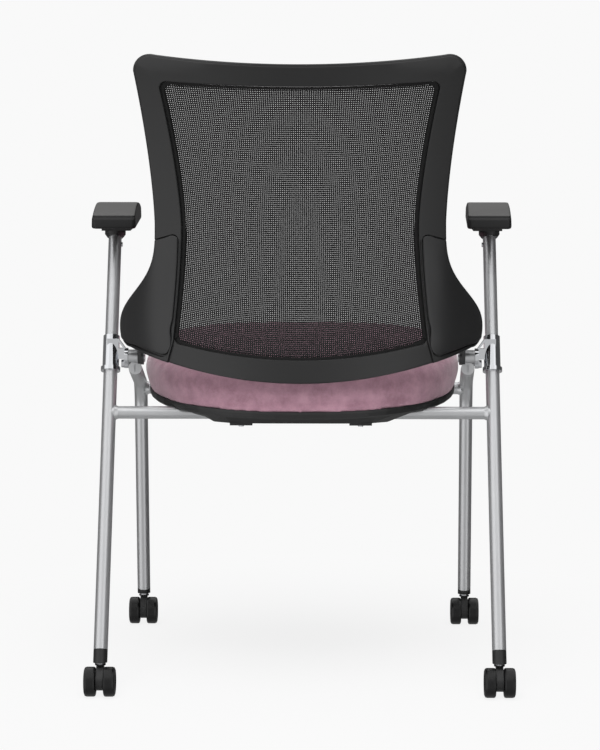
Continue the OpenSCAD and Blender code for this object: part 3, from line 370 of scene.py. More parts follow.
back = {
    "waistHalf": 215, "topFlare": 27, "earReach": 60, "earX": 275, "topZ": 925, "topRise": 14, "waistZ": 690,
    "earZ": 531, "lowZ": 457, "lowBar": 35, "topBar": 32, "rail": 41, "wrap": 88.3, "thick": 11, "lip": 4.5,
    "meshThick": 1.2, "cover": 3, "lowDepth": 44, "recline": 93, "reclinePower": 1.9, "topWrapShare": 0.25,
    "earLift": 30, "earSpan": 70, "earFadeLow": 600, "earFadeHigh": 685, "earSpread": 73, "earPower": 2.3,
    "flarePower": 1.6, "lowRise": 50.7, "innerLowRise": 45.8, "innerTopRise": 9, "innerFlare": 35,
    "innerFlarePower": 1.5, "innerEarFlare": 16, "innerEarSpan": 180, "innerEarPower": 1.5,
    "edgeRadius": 24, "earRadius": 17, "innerRadius": 10, "seamZ": 670, "coverOut": 14, "coverCorner": 10,
    "rim": 2.2, "lowRim": 5.5, "footRim": 3, "seamGap": 0.8, "fanHeight": 30, "fanGap": 8, "lowDeep": 4,
    "carrierThick": 3.4, "carrierDeep": 4.2, "fit": 0.2, "outerSoft": 3.0, "innerSoft": 1.3,
    "bead": 0.8, "beadFrom": 0.75, "seamSwing": 8, "seamReach": 14, "coverCrown": 0.9, "crownLength": 24,
    "seamOpen": 0.9, "coverOpen": 1.5, "coverSoft": 1.6, "coverStart": 0.28, "relief": 0.6, "coverStep": 0.9,
    "meshFit": 0.35, "carrierLow": 2.2, "lowSeamSpan": 4,
}
# The cover's first stations: how far each lies from its start, in stations, and how deep it is set in
seamEdge = {"at": [0, 0.08, 0.25, 0.45], "drop": [1.3, 0.6, 0.12, 0]}
# The covers' upper seam: its rise over the share of the way from the opening to the outer edge
seamShape = {"share": [0.09, 0.11, 0.14, 0.19, 0.27, 0.38, 0.6, 1.0],
             "rise": [-0.3, 0.2, 0.5, 0.72, 0.86, 0.88, 0.4, -0.2]}


def outerHalf(z):
    # above the waist the half width grows by a power of the height, below it by a bell round the ear
    b = back
    up = np.clip((z - b["waistZ"]) / (b["topZ"] - b["waistZ"]), 0, None) ** b["flarePower"]
    ear = np.exp(-(np.abs(z - b["earZ"]) / b["earSpread"]) ** b["earPower"])
    return b["waistHalf"] + np.where(z > b["waistZ"], b["topFlare"] * up, b["earReach"] * ear)


def innerHalf(z):
    # the opening's half width, a power of the distance above and below the waist
    b = back
    up = np.clip((z - b["waistZ"]) / (b["topZ"] - b["waistZ"]), 0, None) ** b["innerFlarePower"]
    down = np.clip((b["waistZ"] - z) / b["innerEarSpan"], 0, None) ** b["innerEarPower"]
    flare = np.where(z > b["waistZ"], b["innerFlare"] * up, b["innerEarFlare"] * down)
    return b["waistHalf"] - b["rail"] + flare


def crossLine(base, rise, reach):
    # a parabola across the width, risen in full at the reach
    return lambda x: base + rise * (x / reach) ** 2


outerTop = crossLine(back["topZ"], back["topRise"], back["waistHalf"])
innerTop = crossLine(back["topZ"] - back["topBar"], back["innerTopRise"], back["waistHalf"])
outerLow = crossLine(back["lowZ"], back["lowRise"], back["earX"])
innerLow = crossLine(back["lowZ"] + back["lowBar"], back["innerLowRise"], back["earX"])


def wrapAt(z):
    # the wrap at a height: it falls by a share of itself with the square of the way up
    share = np.clip((z - back["lowZ"]) / (back["topZ"] - back["lowZ"]), 0, 1)
    return share, back["wrap"] * (1 - back["topWrapShare"] * share ** 2)


def backDepth(x, z):
    # the middle line runs back by a power of the height; the sides come forward by the square of the width,
    # and the ears by one more square outside their start
    b = back
    share, wrap = wrapAt(z)
    fade = 1 - np.clip((z - b["earFadeLow"]) / (b["earFadeHigh"] - b["earFadeLow"]), 0, 1)
    beyond = np.clip(np.abs(x) - b["earX"] + b["earSpan"], 0, None)
    depth = b["lowDepth"] - b["recline"] * share ** b["reclinePower"] + wrap * (x / b["earX"]) ** 2
    slope = 2 * wrap * x / b["earX"] ** 2
    slope = slope + 2 * np.sign(x) * b["earLift"] * fade * beyond / b["earSpan"] ** 2
    return depth + b["earLift"] * fade * (beyond / b["earSpan"]) ** 2, slope


def backPoint(x, z, h):
    # a point h in front of the rear face, square to it in plan
    depth, slope = backDepth(x, z)
    s = np.sqrt(1 + slope ** 2)
    return placed(x - h * slope / s, depth + h / s, z)


# Stations along each stretch of the half outline
fine = {"top": 24, "arc": 12, "upper": 33, "lower": 41, "bend": 12, "foot": 12, "corner": 12, "rim": 4,
        "low": 34, "innerBend": 14}
openingLowZ = innerLow(innerHalf(back["earZ"]) - back["innerRadius"]) + back["innerRadius"]
coverEnd = innerHalf(openingLowZ) + back["coverOut"]
rimEnd = coverEnd - back["seamGap"] - back["footRim"]
earGroup = fine["bend"] + fine["foot"] + fine["corner"]


def steps(n, first=0):
    # n even shares of one, starting at the first
    return np.arange(first, n + first) / n


def outerLine():
    # half outline from the middle of the top, round the ear and its foot, to the middle of the bottom
    b, n = back, fine
    cz = outerTop(outerHalf(b["topZ"]) - b["edgeRadius"]) - b["edgeRadius"]
    cx = outerHalf(cz) - b["edgeRadius"]
    ez = outerLow(outerHalf(b["earZ"]) - b["earRadius"]) + b["earRadius"]
    ex = outerHalf(ez) - b["earRadius"]
    x1 = cx * steps(n["top"])
    a = np.radians(90 * steps(n["arc"]))
    z2 = lerp(cz, b["seamZ"], np.linspace(0, 1, n["upper"]))
    z3 = lerp(b["seamZ"] - b["seamGap"], ez, np.linspace(0, 1, n["lower"]))
    e = np.radians(lerp(90, 180, steps(n["bend"], 1)))
    corner = coverEnd + b["coverCorner"]
    x4 = np.concatenate([lerp(ex, corner, steps(n["foot"], 1)),
                         lerp(corner, coverEnd, np.sin(steps(n["corner"], 1) * np.pi / 2)),
                         lerp(coverEnd - b["seamGap"], rimEnd, np.linspace(0, 1, n["rim"])),
                         (rimEnd - 1) * (1 - np.linspace(0, 1, n["low"]))])
    x = np.concatenate([x1, cx + b["edgeRadius"] * np.sin(a), outerHalf(z2), outerHalf(z3),
                        ex + b["earRadius"] * np.sin(e), x4])
    z = np.concatenate([outerTop(x1), cz + b["edgeRadius"] * np.cos(a), z2, z3,
                        ez + b["earRadius"] * np.cos(e), outerLow(x4)])
    return np.stack([x, z], -1)


def innerLine(e):
    # half outline of the opening drawn in by e, with stations that face those of the outer line
    b, n, r = back, fine, back["innerRadius"]
    z1 = innerTop(innerHalf(b["topZ"] - b["topBar"]) - r) - r - e
    x1 = innerHalf(z1) - r - e
    z2 = openingLowZ + e
    x2 = innerHalf(z2) - r - e
    xa = x1 * steps(n["top"])
    a = np.radians(90 * steps(n["arc"]))
    zb = lerp(z1, b["seamZ"], np.linspace(0, 1, n["upper"]))
    zc = np.concatenate([lerp(b["seamZ"] - b["seamGap"], z2 + b["fanHeight"], np.linspace(0, 1, n["lower"])),
                         lerp(z2 + b["fanHeight"], z2, steps(earGroup, 1))])
    first, last = (94, 100), (104, 164)  # degrees round the lower corner, on the rim and past it
    q = np.radians(np.concatenate([np.linspace(*first, n["rim"]), np.linspace(*last, n["innerBend"])]))
    xd = (x2 + r * math.sin(math.radians(last[1]))) * (1 - steps(n["low"] - n["innerBend"], 1))
    x = np.concatenate([xa, x1 + r * np.sin(a), innerHalf(zb) - e, innerHalf(zc) - e, x2 + r * np.sin(q), xd])
    z = np.concatenate([innerTop(xa) - e, z1 + r * np.cos(a), zb, zc, z2 + r * np.cos(q), innerLow(xd) + e])
    return np.stack([x, z], -1)


def wholeLine(half):
    # the half outline, then its mirror image back up to the top
    other = half[-2:0:-1] * [-1, 1]
    return np.concatenate([half, other])


def across(p, q, share, reach, h):
    # from the inner line p towards the outer line q: a share of the way plus a reach in millimetres, h deep;
    # near the covers' upper seam the height swings so that the seam rises and rounds off inwards
    width = np.linalg.norm(q - p, axis=1)[:, None]
    s = share + reach / width
    at = p[:, None] + (q - p)[:, None] * s[..., None]
    shape = np.interp(s, seamShape["share"], seamShape["rise"])
    near = np.exp(-((at[..., 1] - back["seamZ"]) / back["seamReach"]) ** 2)
    return backPoint(at[..., 0], at[..., 1] + back["seamSwing"] * shape * near, h)


def quarter(n):
    # n angles that divide a right angle
    return np.radians(np.linspace(0, 90, n))


def stations(rows, n):
    # (share, reach, height) rows spread over n stations, a plain number standing for every station
    return [np.stack([np.broadcast_to(np.asarray(row[i], float), (n,)) for row in rows], 1) for i in range(3)]


coverFirst = fine["top"] + fine["arc"] + fine["upper"]
coverLast = coverFirst + fine["lower"] + earGroup - 1
halfLen = coverLast + 1 + fine["rim"] + fine["low"]
ringLen = 2 * halfLen - 2
mirrored = np.minimum(np.arange(ringLen), ringLen - np.arange(ringLen))


def gaps(k):
    # the gaps from the opening to the cover and from the cover to the outer edge at station k: the first
    # widens evenly down the ear, the second opens by a smooth step between the bend's first and last
    # angles and follows a quarter circle at the foot's corner
    b, opens, closes = back, 10, 90
    j = k - coverFirst - fine["lower"] + 1
    inner = b["rim"] + 2 * b["seamGap"] + b["fanGap"] * np.clip(j / earGroup, 0, 1)
    full = b["lowRim"] + 2 * b["seamGap"]
    bend = np.clip((j / fine["bend"] * closes - opens) / (closes - opens), 0, 1)
    c = np.sin(np.clip((j - fine["bend"] - fine["foot"]) / fine["corner"], 0, 1) * np.pi / 2)
    low = full * bend * bend * (3 - 2 * bend) + b["coverCorner"] * (1 - np.sqrt(np.clip(1 - c * c, 0, 1)))
    return inner, np.where((k < coverFirst) | (k > coverLast), full, low)


def frameSection():
    # (share, reach, height) of the frame's section, station by station: rounded edges, a recess under the
    # side covers with a rim round it, and along the top a thin bead set off from the face
    b, t, ri = back, back["thick"], back["innerSoft"]
    k = mirrored
    topEnd, beadFade = fine["top"] + fine["arc"], 12
    covered = (k >= coverFirst) & (k <= coverLast)
    base = np.where(k > coverLast + fine["rim"], b["lowDeep"], 0.0)
    step = base + np.where(covered, b["cover"] + b["fit"], 0.0)
    relief = np.where(covered, b["relief"], 0.0)
    g, low = gaps(k)
    low = np.maximum(low - b["seamGap"], 2 * b["fit"])
    rim = low - b["fit"]
    face = lerp(step, base, np.clip((rim - b["fit"]) / (b["lowRim"] - b["seamGap"]), 0, 1))
    r = np.minimum(b["outerSoft"], 0.9 * rim)
    soft = np.where(covered, b["coverStep"], 0.0)
    bead = b["bead"] * np.interp(k, [0, topEnd, topEnd + beadFade], [1, 1, 0])
    edge = g - 2 * b["seamGap"] - np.where(covered, b["seamOpen"], 0)
    bend = np.minimum(ri, edge - 0.6)
    rows = [(0, bend * (1 - math.cos(f)), base + bend * (1 - math.sin(f))) for f in quarter(4)]
    rows += [(0, edge - 0.5, base), (0, edge - 0.1, base + soft * 0.2), (0, edge + 0.2, base + soft)]
    rows += [(0, g - b["seamGap"], step)]
    rows += [(s, lerp(g, -low, s), step + relief * min(1, 4 * s)) for s in (0.03, 0.07, 0.15, 0.3, 0.65)]
    rows += [(1, -low, step), (1, -rim, lerp(step, face, 0.8)), (1, lerp(-rim, -r, 0.15), face)]
    rows += [(1, lerp(-rim, -r, 0.4), face), (1, lerp(-rim, -r, 0.55), face + bead * 0.2)]
    rows += [(1, lerp(-rim, -r, b["beadFrom"]), face + bead)]
    deep = r - bead * np.minimum(1, r)
    rows += [(1, -r * (1 - math.sin(f)), face + bead + deep * (1 - math.cos(f))) for f in quarter(6)]
    rows += [(1, -ri * (1 - math.cos(f)), t - ri * (1 - math.sin(f))) for f in quarter(4)]
    rows += [(0.7, 0, t), (0.35, 0, t)]
    rows += [(0, ri * (1 - math.sin(f)), t - ri * (1 - math.cos(f))) for f in quarter(4)]
    return stations(rows, ringLen)


def makeFrame():
    # the frame's section carried round the opening
    outer, inner = wholeLine(outerLine()), wholeLine(innerLine(0))
    share, reach, h = frameSection()
    points = across(inner, outer, share, reach, h)
    n, m = points.shape[:2]
    faces = gridFaces(n, m, True, True)
    obj = newPiece("backFrameSkin", points.reshape(-1, 3), faces.tolist(), finishes["frameBlack"],
                   "back")
    softenEdges(obj, 40)
    return obj


def standPosts():
    # the four moulded posts behind the brackets: a short cylinder with a shallow dish at its open end
    p = {"x": 254, "front": 168.67, "root": 144.97, "radius": 5, "heights": (517, 548), "bore": 2,
         "soft": 0.6, "sides": 32}
    n = p["sides"]
    turn = np.radians(np.arange(n) * 360 / n)
    r = np.array([p["bore"], p["bore"], p["radius"] - p["soft"], p["radius"], p["radius"]])
    d = np.array([p["root"], p["front"], p["front"], p["front"] - p["soft"], p["root"]])
    points, faces = [], []
    for side in (-1, 1):
        for z in p["heights"]:
            x = side * p["x"] + r[:, None] * np.cos(turn)
            ring = placed(x, np.repeat(d[:, None], n, 1), z + r[:, None] * np.sin(turn))
            faces.append(gridFaces(len(r), n, True, True, start=len(points) * len(r) * n))
            points.append(ring.reshape(-1, 3))
    obj = newPiece("backFramePosts", np.concatenate(points), np.concatenate(faces).tolist(),
                   finishes["frameBlack"], "back")
    softenEdges(obj, 40)
    return obj


def makeCarrier():
    # a slim strip just inside the frame with its rear inner edge rounded, sunk deeper along the low bar; its
    # near-black finish is a painted shade
    b = back
    outer, inner = wholeLine(innerLine(b["fit"])), wholeLine(innerLine(b["lip"]))
    h, t = b["carrierDeep"], b["carrierThick"]
    n = len(outer)
    low = np.minimum(np.arange(n), n - np.arange(n)) > coverLast + fine["rim"]
    h, t = h + np.where(low, b["carrierLow"], 0), t - np.where(low, b["carrierLow"], 0)
    rows = [(0, 0, h + t / 3), (0, 0.25, h + t / 6), (0, 0.8, h + 0.1), (0, 1.6, h)]
    rows += [(1, 0, h), (1, 0, h + t), (0, 0, h + t)]
    share, reach, depth = stations(rows, n)
    points = across(inner, outer, share, reach, depth)
    # the strip's near-black finish is a painted shade
    obj = newPiece("meshCarrierStrip", points.reshape(-1, 3), gridFaces(n, len(rows), True, True).tolist(),
                   finishes["carrierPaintedShade"], "back")
    softenEdges(obj, 50)
    return obj


def makeCover(side):
    # a thin pillowed shell let into the ear: rear skin with rounded edges, and its inner skin; the first
    # stations stand close together and drop towards the upper seam
    b, t, r = back, back["cover"], back["coverSoft"]
    start, at = b["coverStart"], np.array(seamEdge["at"])
    k = coverFirst + np.concatenate([start + at, np.arange(1, coverLast - coverFirst + 1)])
    drop = np.interp(k - coverFirst - start, at, seamEdge["drop"])
    every = np.arange(halfLen)
    outer, inner = [np.stack([np.interp(k, every, line[:, i]) for i in (0, 1)], 1)
                    for line in (outerLine(), innerLine(0))]
    g, low = [np.interp(k, every, gap) for gap in gaps(every)]
    g = g + b["coverOpen"]
    low = low + b["coverOpen"] * np.clip(low / b["lowSeamSpan"], 0, 1)
    crown = b["coverCrown"] * np.sin(np.pi * np.clip((k - coverFirst) / b["crownLength"], 0, 0.5))
    rows = [(0, g + r * (1 - math.cos(f)), r * (1 - math.sin(f))) for f in quarter(5)]
    rows += [(s, lerp(g, -low, s), -crown * math.sin(math.pi * s))
             for s in (0.07, 0.15, 0.3, 0.45, 0.6, 0.75, 0.87)]
    rows += [(1, -low - t * (1 - math.sin(f)), t * (1 - math.cos(f))) for f in quarter(6)]
    rows += [(1, -low - 0.25 * t, t), (1, -low - t, t)]
    rows += [(s, lerp(g, -low, s), t) for s in (0.6, 0.3)] + [(0, g, t)]
    n, m = len(outer), len(rows)
    share, reach, h = stations(rows, n)
    h = np.minimum(t, h + drop[:, None])
    points = across(inner, outer, share, reach, h) * [side, 1, 1]
    faces = gridFaces(n, m, False, True, flip=side < 0).tolist()
    ends = [list(range(m)), list(range((n - 1) * m, n * m))]
    faces += [ends[0][::-1], ends[1]] if side > 0 else [ends[0], ends[1][::-1]]
    name = "sideCoverSkin" + ("Left" if side > 0 else "Right")
    obj = newPiece(name, points.reshape(-1, 3), faces, finishes["coverBlack"], "back")
    softenEdges(obj, 40)
    return obj


# Threads across and up, their width, thickness and weave height, how far the edge runs under the strip, and
# the shares of width and height that count as a corner, with the share by which a corner is drawn in
knit = {"columns": 124, "rows": 134, "width": 2.12, "pitch": 2.9, "thick": 0.6, "lift": 0.08, "under": 3.0,
        "cornerSide": 0.07, "cornerEnd": 0.02, "cornerDrawn": 0.02}


def meshPlace(u, v, h):
    # u runs across and v up the opening, both with the opening's own curved edges, as stretched knit does;
    # the four corners are drawn in a little
    b, e = back, back["lip"] - knit["under"]
    zMid = lerp(b["lowZ"] + b["lowBar"] + e, b["topZ"] - b["topBar"] - e, v)
    x = u * (innerHalf(zMid) - e)
    z = lerp(innerLow(x) + e, innerTop(x) - e, v)
    side, end, drawn = knit["cornerSide"], knit["cornerEnd"], knit["cornerDrawn"]
    corner = np.clip((np.abs(u) - (1 - side)) / side, 0, 1) ** 2
    corner = corner * np.clip((np.abs(v - 0.5) - (0.5 - end)) / end, 0, 1)
    return backPoint(x * (1 - drawn * corner), z, h)


def makeThreads(name, warps, finish):
    # each thread is a diamond section carried along its line, over and under by turns at every crossing
    k = knit
    h0 = back["carrierDeep"] + back["carrierThick"] + back["meshFit"] + back["meshThick"] / 2
    count, length = (k["columns"], k["rows"]) if warps else (k["rows"], k["columns"])
    i, j = np.meshgrid(np.arange(count), np.arange(length), indexing="ij")
    sign = np.where((i + j) % 2 == 0, 1.0, -1.0) * (1 if warps else -1)
    beside = (i + 0.5) / count
    along = (j + 0.5) / length
    half = k["width"] / 2 / ((k["columns"] if warps else k["rows"]) * k["pitch"])
    points = []
    for side, rise in ((-1, 0), (0, -1), (1, 0), (0, 1)):
        a = beside + side * half
        h = h0 + k["lift"] * sign + rise * k["thick"] / 2
        points.append(meshPlace(2 * a - 1, along, h) if warps else meshPlace(2 * along - 1, a, h))
    grid = np.stack(points, 2)  # thread, station, corner, axis
    flat = grid.reshape(-1, 3)
    t, s, c = np.meshgrid(np.arange(count), np.arange(length - 1), np.arange(4), indexing="ij")
    base = (t * length + s) * 4
    d = (c + 1) % 4
    quads = np.stack([base + c, base + 4 + c, base + 4 + d, base + d], -1).reshape(-1, 4)
    first = np.arange(count)[:, None] * length * 4 + np.arange(4)
    last = first + (length - 1) * 4
    faces = np.concatenate([quads, first, last[:, ::-1]])
    if not warps:
        faces = faces[:, ::-1]
    return newPiece(name, flat, faces.tolist(), finish, "back")


backFrameSkin = makeFrame()
backFramePosts = standPosts()
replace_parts(backFrameSkin, "back_frame")
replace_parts(backFramePosts, "back_frame")
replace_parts(makeCarrier(), "mesh_carrier")
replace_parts(makeCover(1), "side_cover_left")
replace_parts(makeCover(-1), "side_cover_right")
meshWarp = makeThreads("meshWarpThreads", True, finishes["warp"])
meshWeft = makeThreads("meshWeftThreads", False, finishes["weft"])
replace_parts(meshWarp, "back_mesh")
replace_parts(meshWeft, "back_mesh")
print("back made")


# arm pads

pad = {"length": 245, "width": 67, "height": 32, "rearDepth": 182, "z": 676, "x": 283.8, "rearShare": 0.6,
       "frontShare": 0.72, "corner": 7, "toe": 9, "sideInset": 0.3, "bend": 13, "across": 8, "along": 30}
# Rings of the pad from its underside to the middle of its top: inset, share of the thickness, and offset
padRings = [(4.5, 0, 0), (1.8, 0, 0.6), (0.6, 0, 1.7), (0.1, 0, 3.4), (0, 0, 5.5), (0.5, 0.5, 0.5),
            (1.0, 1, -6.2), (1.1, 1, -5.6), (1.5, 1, -4.9), (2.9, 1, -3.1), (3.5, 1, -2.4), (3.7, 1, -2.6),
            (3.9, 1, -3.6), (4.9, 1, -3.6), (5.1, 1, -2.2), (5.5, 1, -0.9), (6.1, 1, -0.3), (7.2, 1, 0),
            (11, 1, 0.3), (19, 1, 0.6)]


def roundedBox(a, b, r):
    # outline of a box with half sizes a and b and corner radius r, counterclockwise from the +x side
    turn = quarter(pad["bend"])
    corners = ((1, 1), (-1, 1), (-1, -1), (1, -1))
    parts = []
    for k, (sx, sy) in enumerate(corners):
        c, s = np.cos(turn + k * np.pi / 2), np.sin(turn + k * np.pi / 2)
        parts.append(np.stack([sx * (a - r) + r * c, sy * (b - r) + r * s], -1))
        nx, ny = corners[(k + 1) % 4]
        sideways = k % 2 == 0
        end = np.array([nx * (a - r), sy * b]) if sideways else np.array([sx * a, ny * (b - r)])
        count = pad["across"] if sideways else pad["along"]
        parts.append(lerp(parts[-1][-1], end, (np.arange(1, count) / count)[:, None]))
    return np.concatenate(parts)


def makePad(side):
    # outlines stacked from the underside up, drawn in ring by ring; the thickness grows to the middle and the
    # front toes out a little; both ends are closed by strips from each point to its mirror image
    p = pad
    rings = []
    for inset, share, offset in padRings:
        beside = inset * (p["sideInset"] if share > 0 else 1)
        corner = max(p["corner"] - inset * 0.6, 0.4)
        line = roundedBox(p["width"] / 2 - beside, p["length"] / 2 - inset, corner)
        u = 0.5 + line[:, 1] / p["length"]
        rise = lerp(np.where(u < 0.5, p["rearShare"], p["frontShare"]), 1, np.sin(np.pi * u))
        z = p["z"] + share * p["height"] * rise + offset
        depth = p["rearDepth"] + p["length"] / 2 + line[:, 1]
        rings.append(placed(p["x"] + line[:, 0] + p["toe"] * u, depth, z))
    points = np.stack(rings) * [side, 1, 1]
    n, m = points.shape[:2]
    faces = gridFaces(n, m, False, True, flip=side > 0).tolist()
    first, last, mirror = 16, 78, 32  # the strips' first and last points; point i mirrors to mirror - i
    for start, low in ((0, True), ((n - 1) * m, False)):
        for i in range(first, last):
            strip = [i, i + 1, (mirror - 1 - i) % m, (mirror - i) % m]
            strip = [start + k for j, k in enumerate(strip) if k not in strip[:j]]
            faces.append(strip if low == (side > 0) else strip[::-1])
    obj = newPiece("armPadSkin" + ("Left" if side > 0 else "Right"), points.reshape(-1, 3), faces,
                   finishes["pad"], "chair")
    softenEdges(obj, 35)
    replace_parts(obj, "arm_pad_left" if side > 0 else "arm_pad_right")


makePad(1)
makePad(-1)
print("arm pads made")


# the seat cushion: a crowned form in the seat's own tilted frame, then puffed by a cloth simulation

seat = {"halfWidth": 238, "rear": 230, "front": 207, "wideAt": 145, "tilt": 4, "rearPower": 2.25,
        "frontPower": 3, "hingeDepth": 155.28, "hingeZ": 400, "low": 18.3, "height": 62, "stations": 120,
        "crown": 4, "crownFrom": 0.9, "rise": 0.965, "voxel": 5.0, "pressure": 4.0, "quality": 4,
        "frames": 20, "mostMove": 5.0, "shrink": -5.0, "rearBack": 7.5, "footShare": 0.2, "sink": 4,
        "slack": 0.4, "sideRings": 8, "aroundRadius": 230, "steepBelow": 0.55}


def seatLine(e, back=0):
    # superellipse seen from above, fuller at the front than at the rear, drawn in by e and its rear by back
    s = seat
    a = np.radians(np.arange(s["stations"]) * 360 / s["stations"])
    n = np.where(np.sin(a) > 0, 2 / s["rearPower"], 2 / s["frontPower"])
    reach = np.where(np.sin(a) > 0, s["rear"] - back, s["front"]) - e
    return (s["halfWidth"] - e) * signedPower(np.cos(a), n), signedPower(np.sin(a), n) * reach - s["wideAt"]


def seatPlace(x, y, w):
    # from the seat's frame, tipped up at the front about the hinge, to the chair's
    t = math.radians(-seat["tilt"])
    yy = y * math.cos(t) - w * math.sin(t)
    zz = y * math.sin(t) + w * math.cos(t)
    return placed(x, seat["hingeDepth"] - yy, seat["hingeZ"] + zz)


# Rings of the cushion from its underside to the middle of its top: outward growth and share of the height
cushionRings = [(-2.0, -0.065), (-1.6, 0.0), (-0.8, 0.05), (2.2, 0.2), (5.0, 0.4), (5.3, 0.55), (2.5, 0.73),
                (-3.1, 0.85), (-13.6, 0.925), (-34, 0.965), (-68, 0.985), (-112, 0.995), (-161, 1.0),
                (-200, 1.0)]


def makeCushion():
    # rings stacked in the seat's frame; the top ones rise by the crown, the rear stands back above the foot
    s = seat
    rings = []
    for grow, share in cushionRings:
        x, y = seatLine(s["shrink"] - grow, s["rearBack"] * np.clip(share / s["footShare"], 0, 1))
        dome = s["crown"] * np.clip((share - s["crownFrom"]) / (1 - s["crownFrom"]), 0, 1)
        w = s["low"] + s["height"] * share * s["rise"] + dome * share
        rings.append(seatPlace(x, y, np.full_like(x, w)))
    points = np.concatenate(rings)
    n, m = len(rings), s["stations"]
    faces = gridFaces(n, m, False, True).tolist()
    faces += [list(range(m))[::-1], list(range((n - 1) * m, n * m))]
    obj = newPiece("seatCushionCover", points, faces, finishes["mauve"], "seat")
    puff(obj)
    unwrapSeat(obj)
    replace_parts(obj, "seat_cushion")
    return obj


def puff(obj):
    # remesh, then cloth with inner pressure and no gravity; no point moves further than the cap
    s = seat
    remesh = obj.modifiers.new("remesh", "REMESH")
    remesh.mode, remesh.voxel_size, remesh.use_smooth_shade = "VOXEL", s["voxel"] / 1000, True
    applyModifiers(obj)
    mesh = obj.data
    before = np.empty(len(mesh.vertices) * 3)
    mesh.vertices.foreach_get("co", before)
    before = before.reshape(-1, 3)
    cloth = obj.modifiers.new("cloth", "CLOTH")
    cloth.settings.use_pressure = True
    cloth.settings.uniform_pressure_force = s["pressure"]
    cloth.settings.effector_weights.gravity = 0
    cloth.settings.quality = s["quality"]
    cloth.point_cache.frame_start, cloth.point_cache.frame_end = 1, s["frames"]
    scene = bpy.context.scene
    for k in range(1, s["frames"] + 1):
        scene.frame_set(k)
    shaped = obj.evaluated_get(bpy.context.evaluated_depsgraph_get())
    after = np.empty(len(shaped.data.vertices) * 3)
    shaped.data.vertices.foreach_get("co", after)
    after = after.reshape(-1, 3)
    obj.modifiers.remove(cloth)
    scene.frame_set(1)
    move = after - before
    far = np.linalg.norm(move, axis=1)[:, None]
    move *= np.minimum(1, s["mostMove"] / 1000 / np.maximum(far, 1e-9))
    mesh.vertices.foreach_set("co", keepInside(before + move).ravel())
    mesh.update()
    divide = obj.modifiers.new("divide", "SUBSURF")
    divide.levels = divide.render_levels = 1
    applyModifiers(obj)
    obj.data.polygons.foreach_set("use_smooth", np.ones(len(obj.data.polygons), bool))


def seatFrame(points):
    # metres in the chair's axes to millimetres in the seat's: across, rearwards and square to the shell
    y = points[:, 1] * 1000 - chair["centreDepth"] + seat["hingeDepth"]
    z = points[:, 2] * 1000 - seat["hingeZ"]
    t = math.radians(-seat["tilt"])
    return points[:, 0] * 1000, y * math.cos(t) + z * math.sin(t), -y * math.sin(t) + z * math.cos(t)


def keepInside(points):
    # points outside the cushion's own outline at their height are drawn in to it along the line to its middle
    s = seat
    x, y, w = seatFrame(points)
    y, w = y + s["wideAt"], np.maximum(w, s["low"] - s["sink"])
    share = (w - s["low"]) / s["height"]
    grow, height = np.array(cushionRings[:s["sideRings"]]).T
    grow = np.interp(share, height, grow + s["slack"])
    rear = s["rear"] - s["rearBack"] * np.clip(share / s["footShare"], 0, 1)
    power = np.where(y > 0, s["rearPower"], s["frontPower"])
    reach = np.where(y > 0, rear, s["front"]) + grow
    far = (np.abs(x) / (s["halfWidth"] + grow)) ** power + (np.abs(y) / reach) ** power
    k = np.maximum(far, 1) ** (-1 / power)
    return seatPlace(x * k, y * k - s["wideAt"], w)


def applyModifiers(obj):
    # the mesh as its modifiers leave it becomes the object's own
    graph = bpy.context.evaluated_depsgraph_get()
    shaped = bpy.data.meshes.new_from_object(obj.evaluated_get(graph))
    finish = list(obj.data.materials)
    obj.modifiers.clear()
    obj.data = shaped
    shaped.materials.clear()
    for m in finish:
        shaped.materials.append(m)


def unwrapSeat(obj):
    # the map runs in metres: on top across and rearwards, on the steep sides around and up
    mesh = obj.data
    co = np.empty(len(mesh.vertices) * 3)
    mesh.vertices.foreach_get("co", co)
    x, y, w = seatFrame(co.reshape(-1, 3))
    angle = np.arctan2(y + seat["wideAt"], x)
    normals = np.empty(len(mesh.vertices) * 3)
    mesh.vertices.foreach_get("normal", normals)
    steep = np.abs(normals.reshape(-1, 3)[:, 2]) < seat["steepBelow"]
    u = np.where(steep, angle * seat["aroundRadius"], x) / 1000
    v = np.where(steep, w, y) / 1000
    corner = np.empty(len(mesh.loops), np.int32)
    mesh.loops.foreach_get("vertex_index", corner)
    layer = mesh.uv_layers.new(name="along")
    layer.data.foreach_set("uv", np.stack([u, v], -1)[corner].astype(np.float32).ravel())


seatCushion = makeCushion()
print("cushion made:", len(seatCushion.data.polygons), "faces")


# studio: floor, world and lamps

# Levels of light for the world and the floor, and the sines of the angles above and below the horizon from
# which the ceiling and the ground show in mirror-like surfaces, with how fast they come in
studio = {"white": 0.947, "floorRadius": 6.0, "floorSides": 96, "strength": 1.6, "floorPlain": 0.94,
          "plainFrom": 0.5, "plainRise": 0.2, "dim": 0.17, "ceiling": 1.4, "ceilingFrom": 0.5,
          "ceilingRise": 5.0, "ground": 0.45, "groundFrom": 0.5, "groundRise": 4.0}
# Soft lamps: where they stand, what they face and their sizes in metres, and their powers in watts
lamps = {"overhead": {"place": (0, 0.6, 2.9), "target": (0, 0.1, 0.6), "size": (2.2, 2.2), "power": 70},
         "rearHigh": {"place": (0.15, 2.2, 3.1), "target": (0, 0, 0.5), "size": (2.4, 1.6), "power": 74}}
# Brightness round the chair for everything but the camera, over shares of a turn from straight ahead of it,
# clockwise seen from above: a broad box on the camera's left, a slim one on its right, and dim surroundings
roundStops = [(0.0, 0.14), (0.26, 0.12), (0.30, 0.85), (0.42, 0.85), (0.45, 0.44), (0.55, 0.46), (0.58, 0.85),
              (0.63, 0.85), (0.66, 0.05), (0.84, 0.06), (1.0, 0.14)]


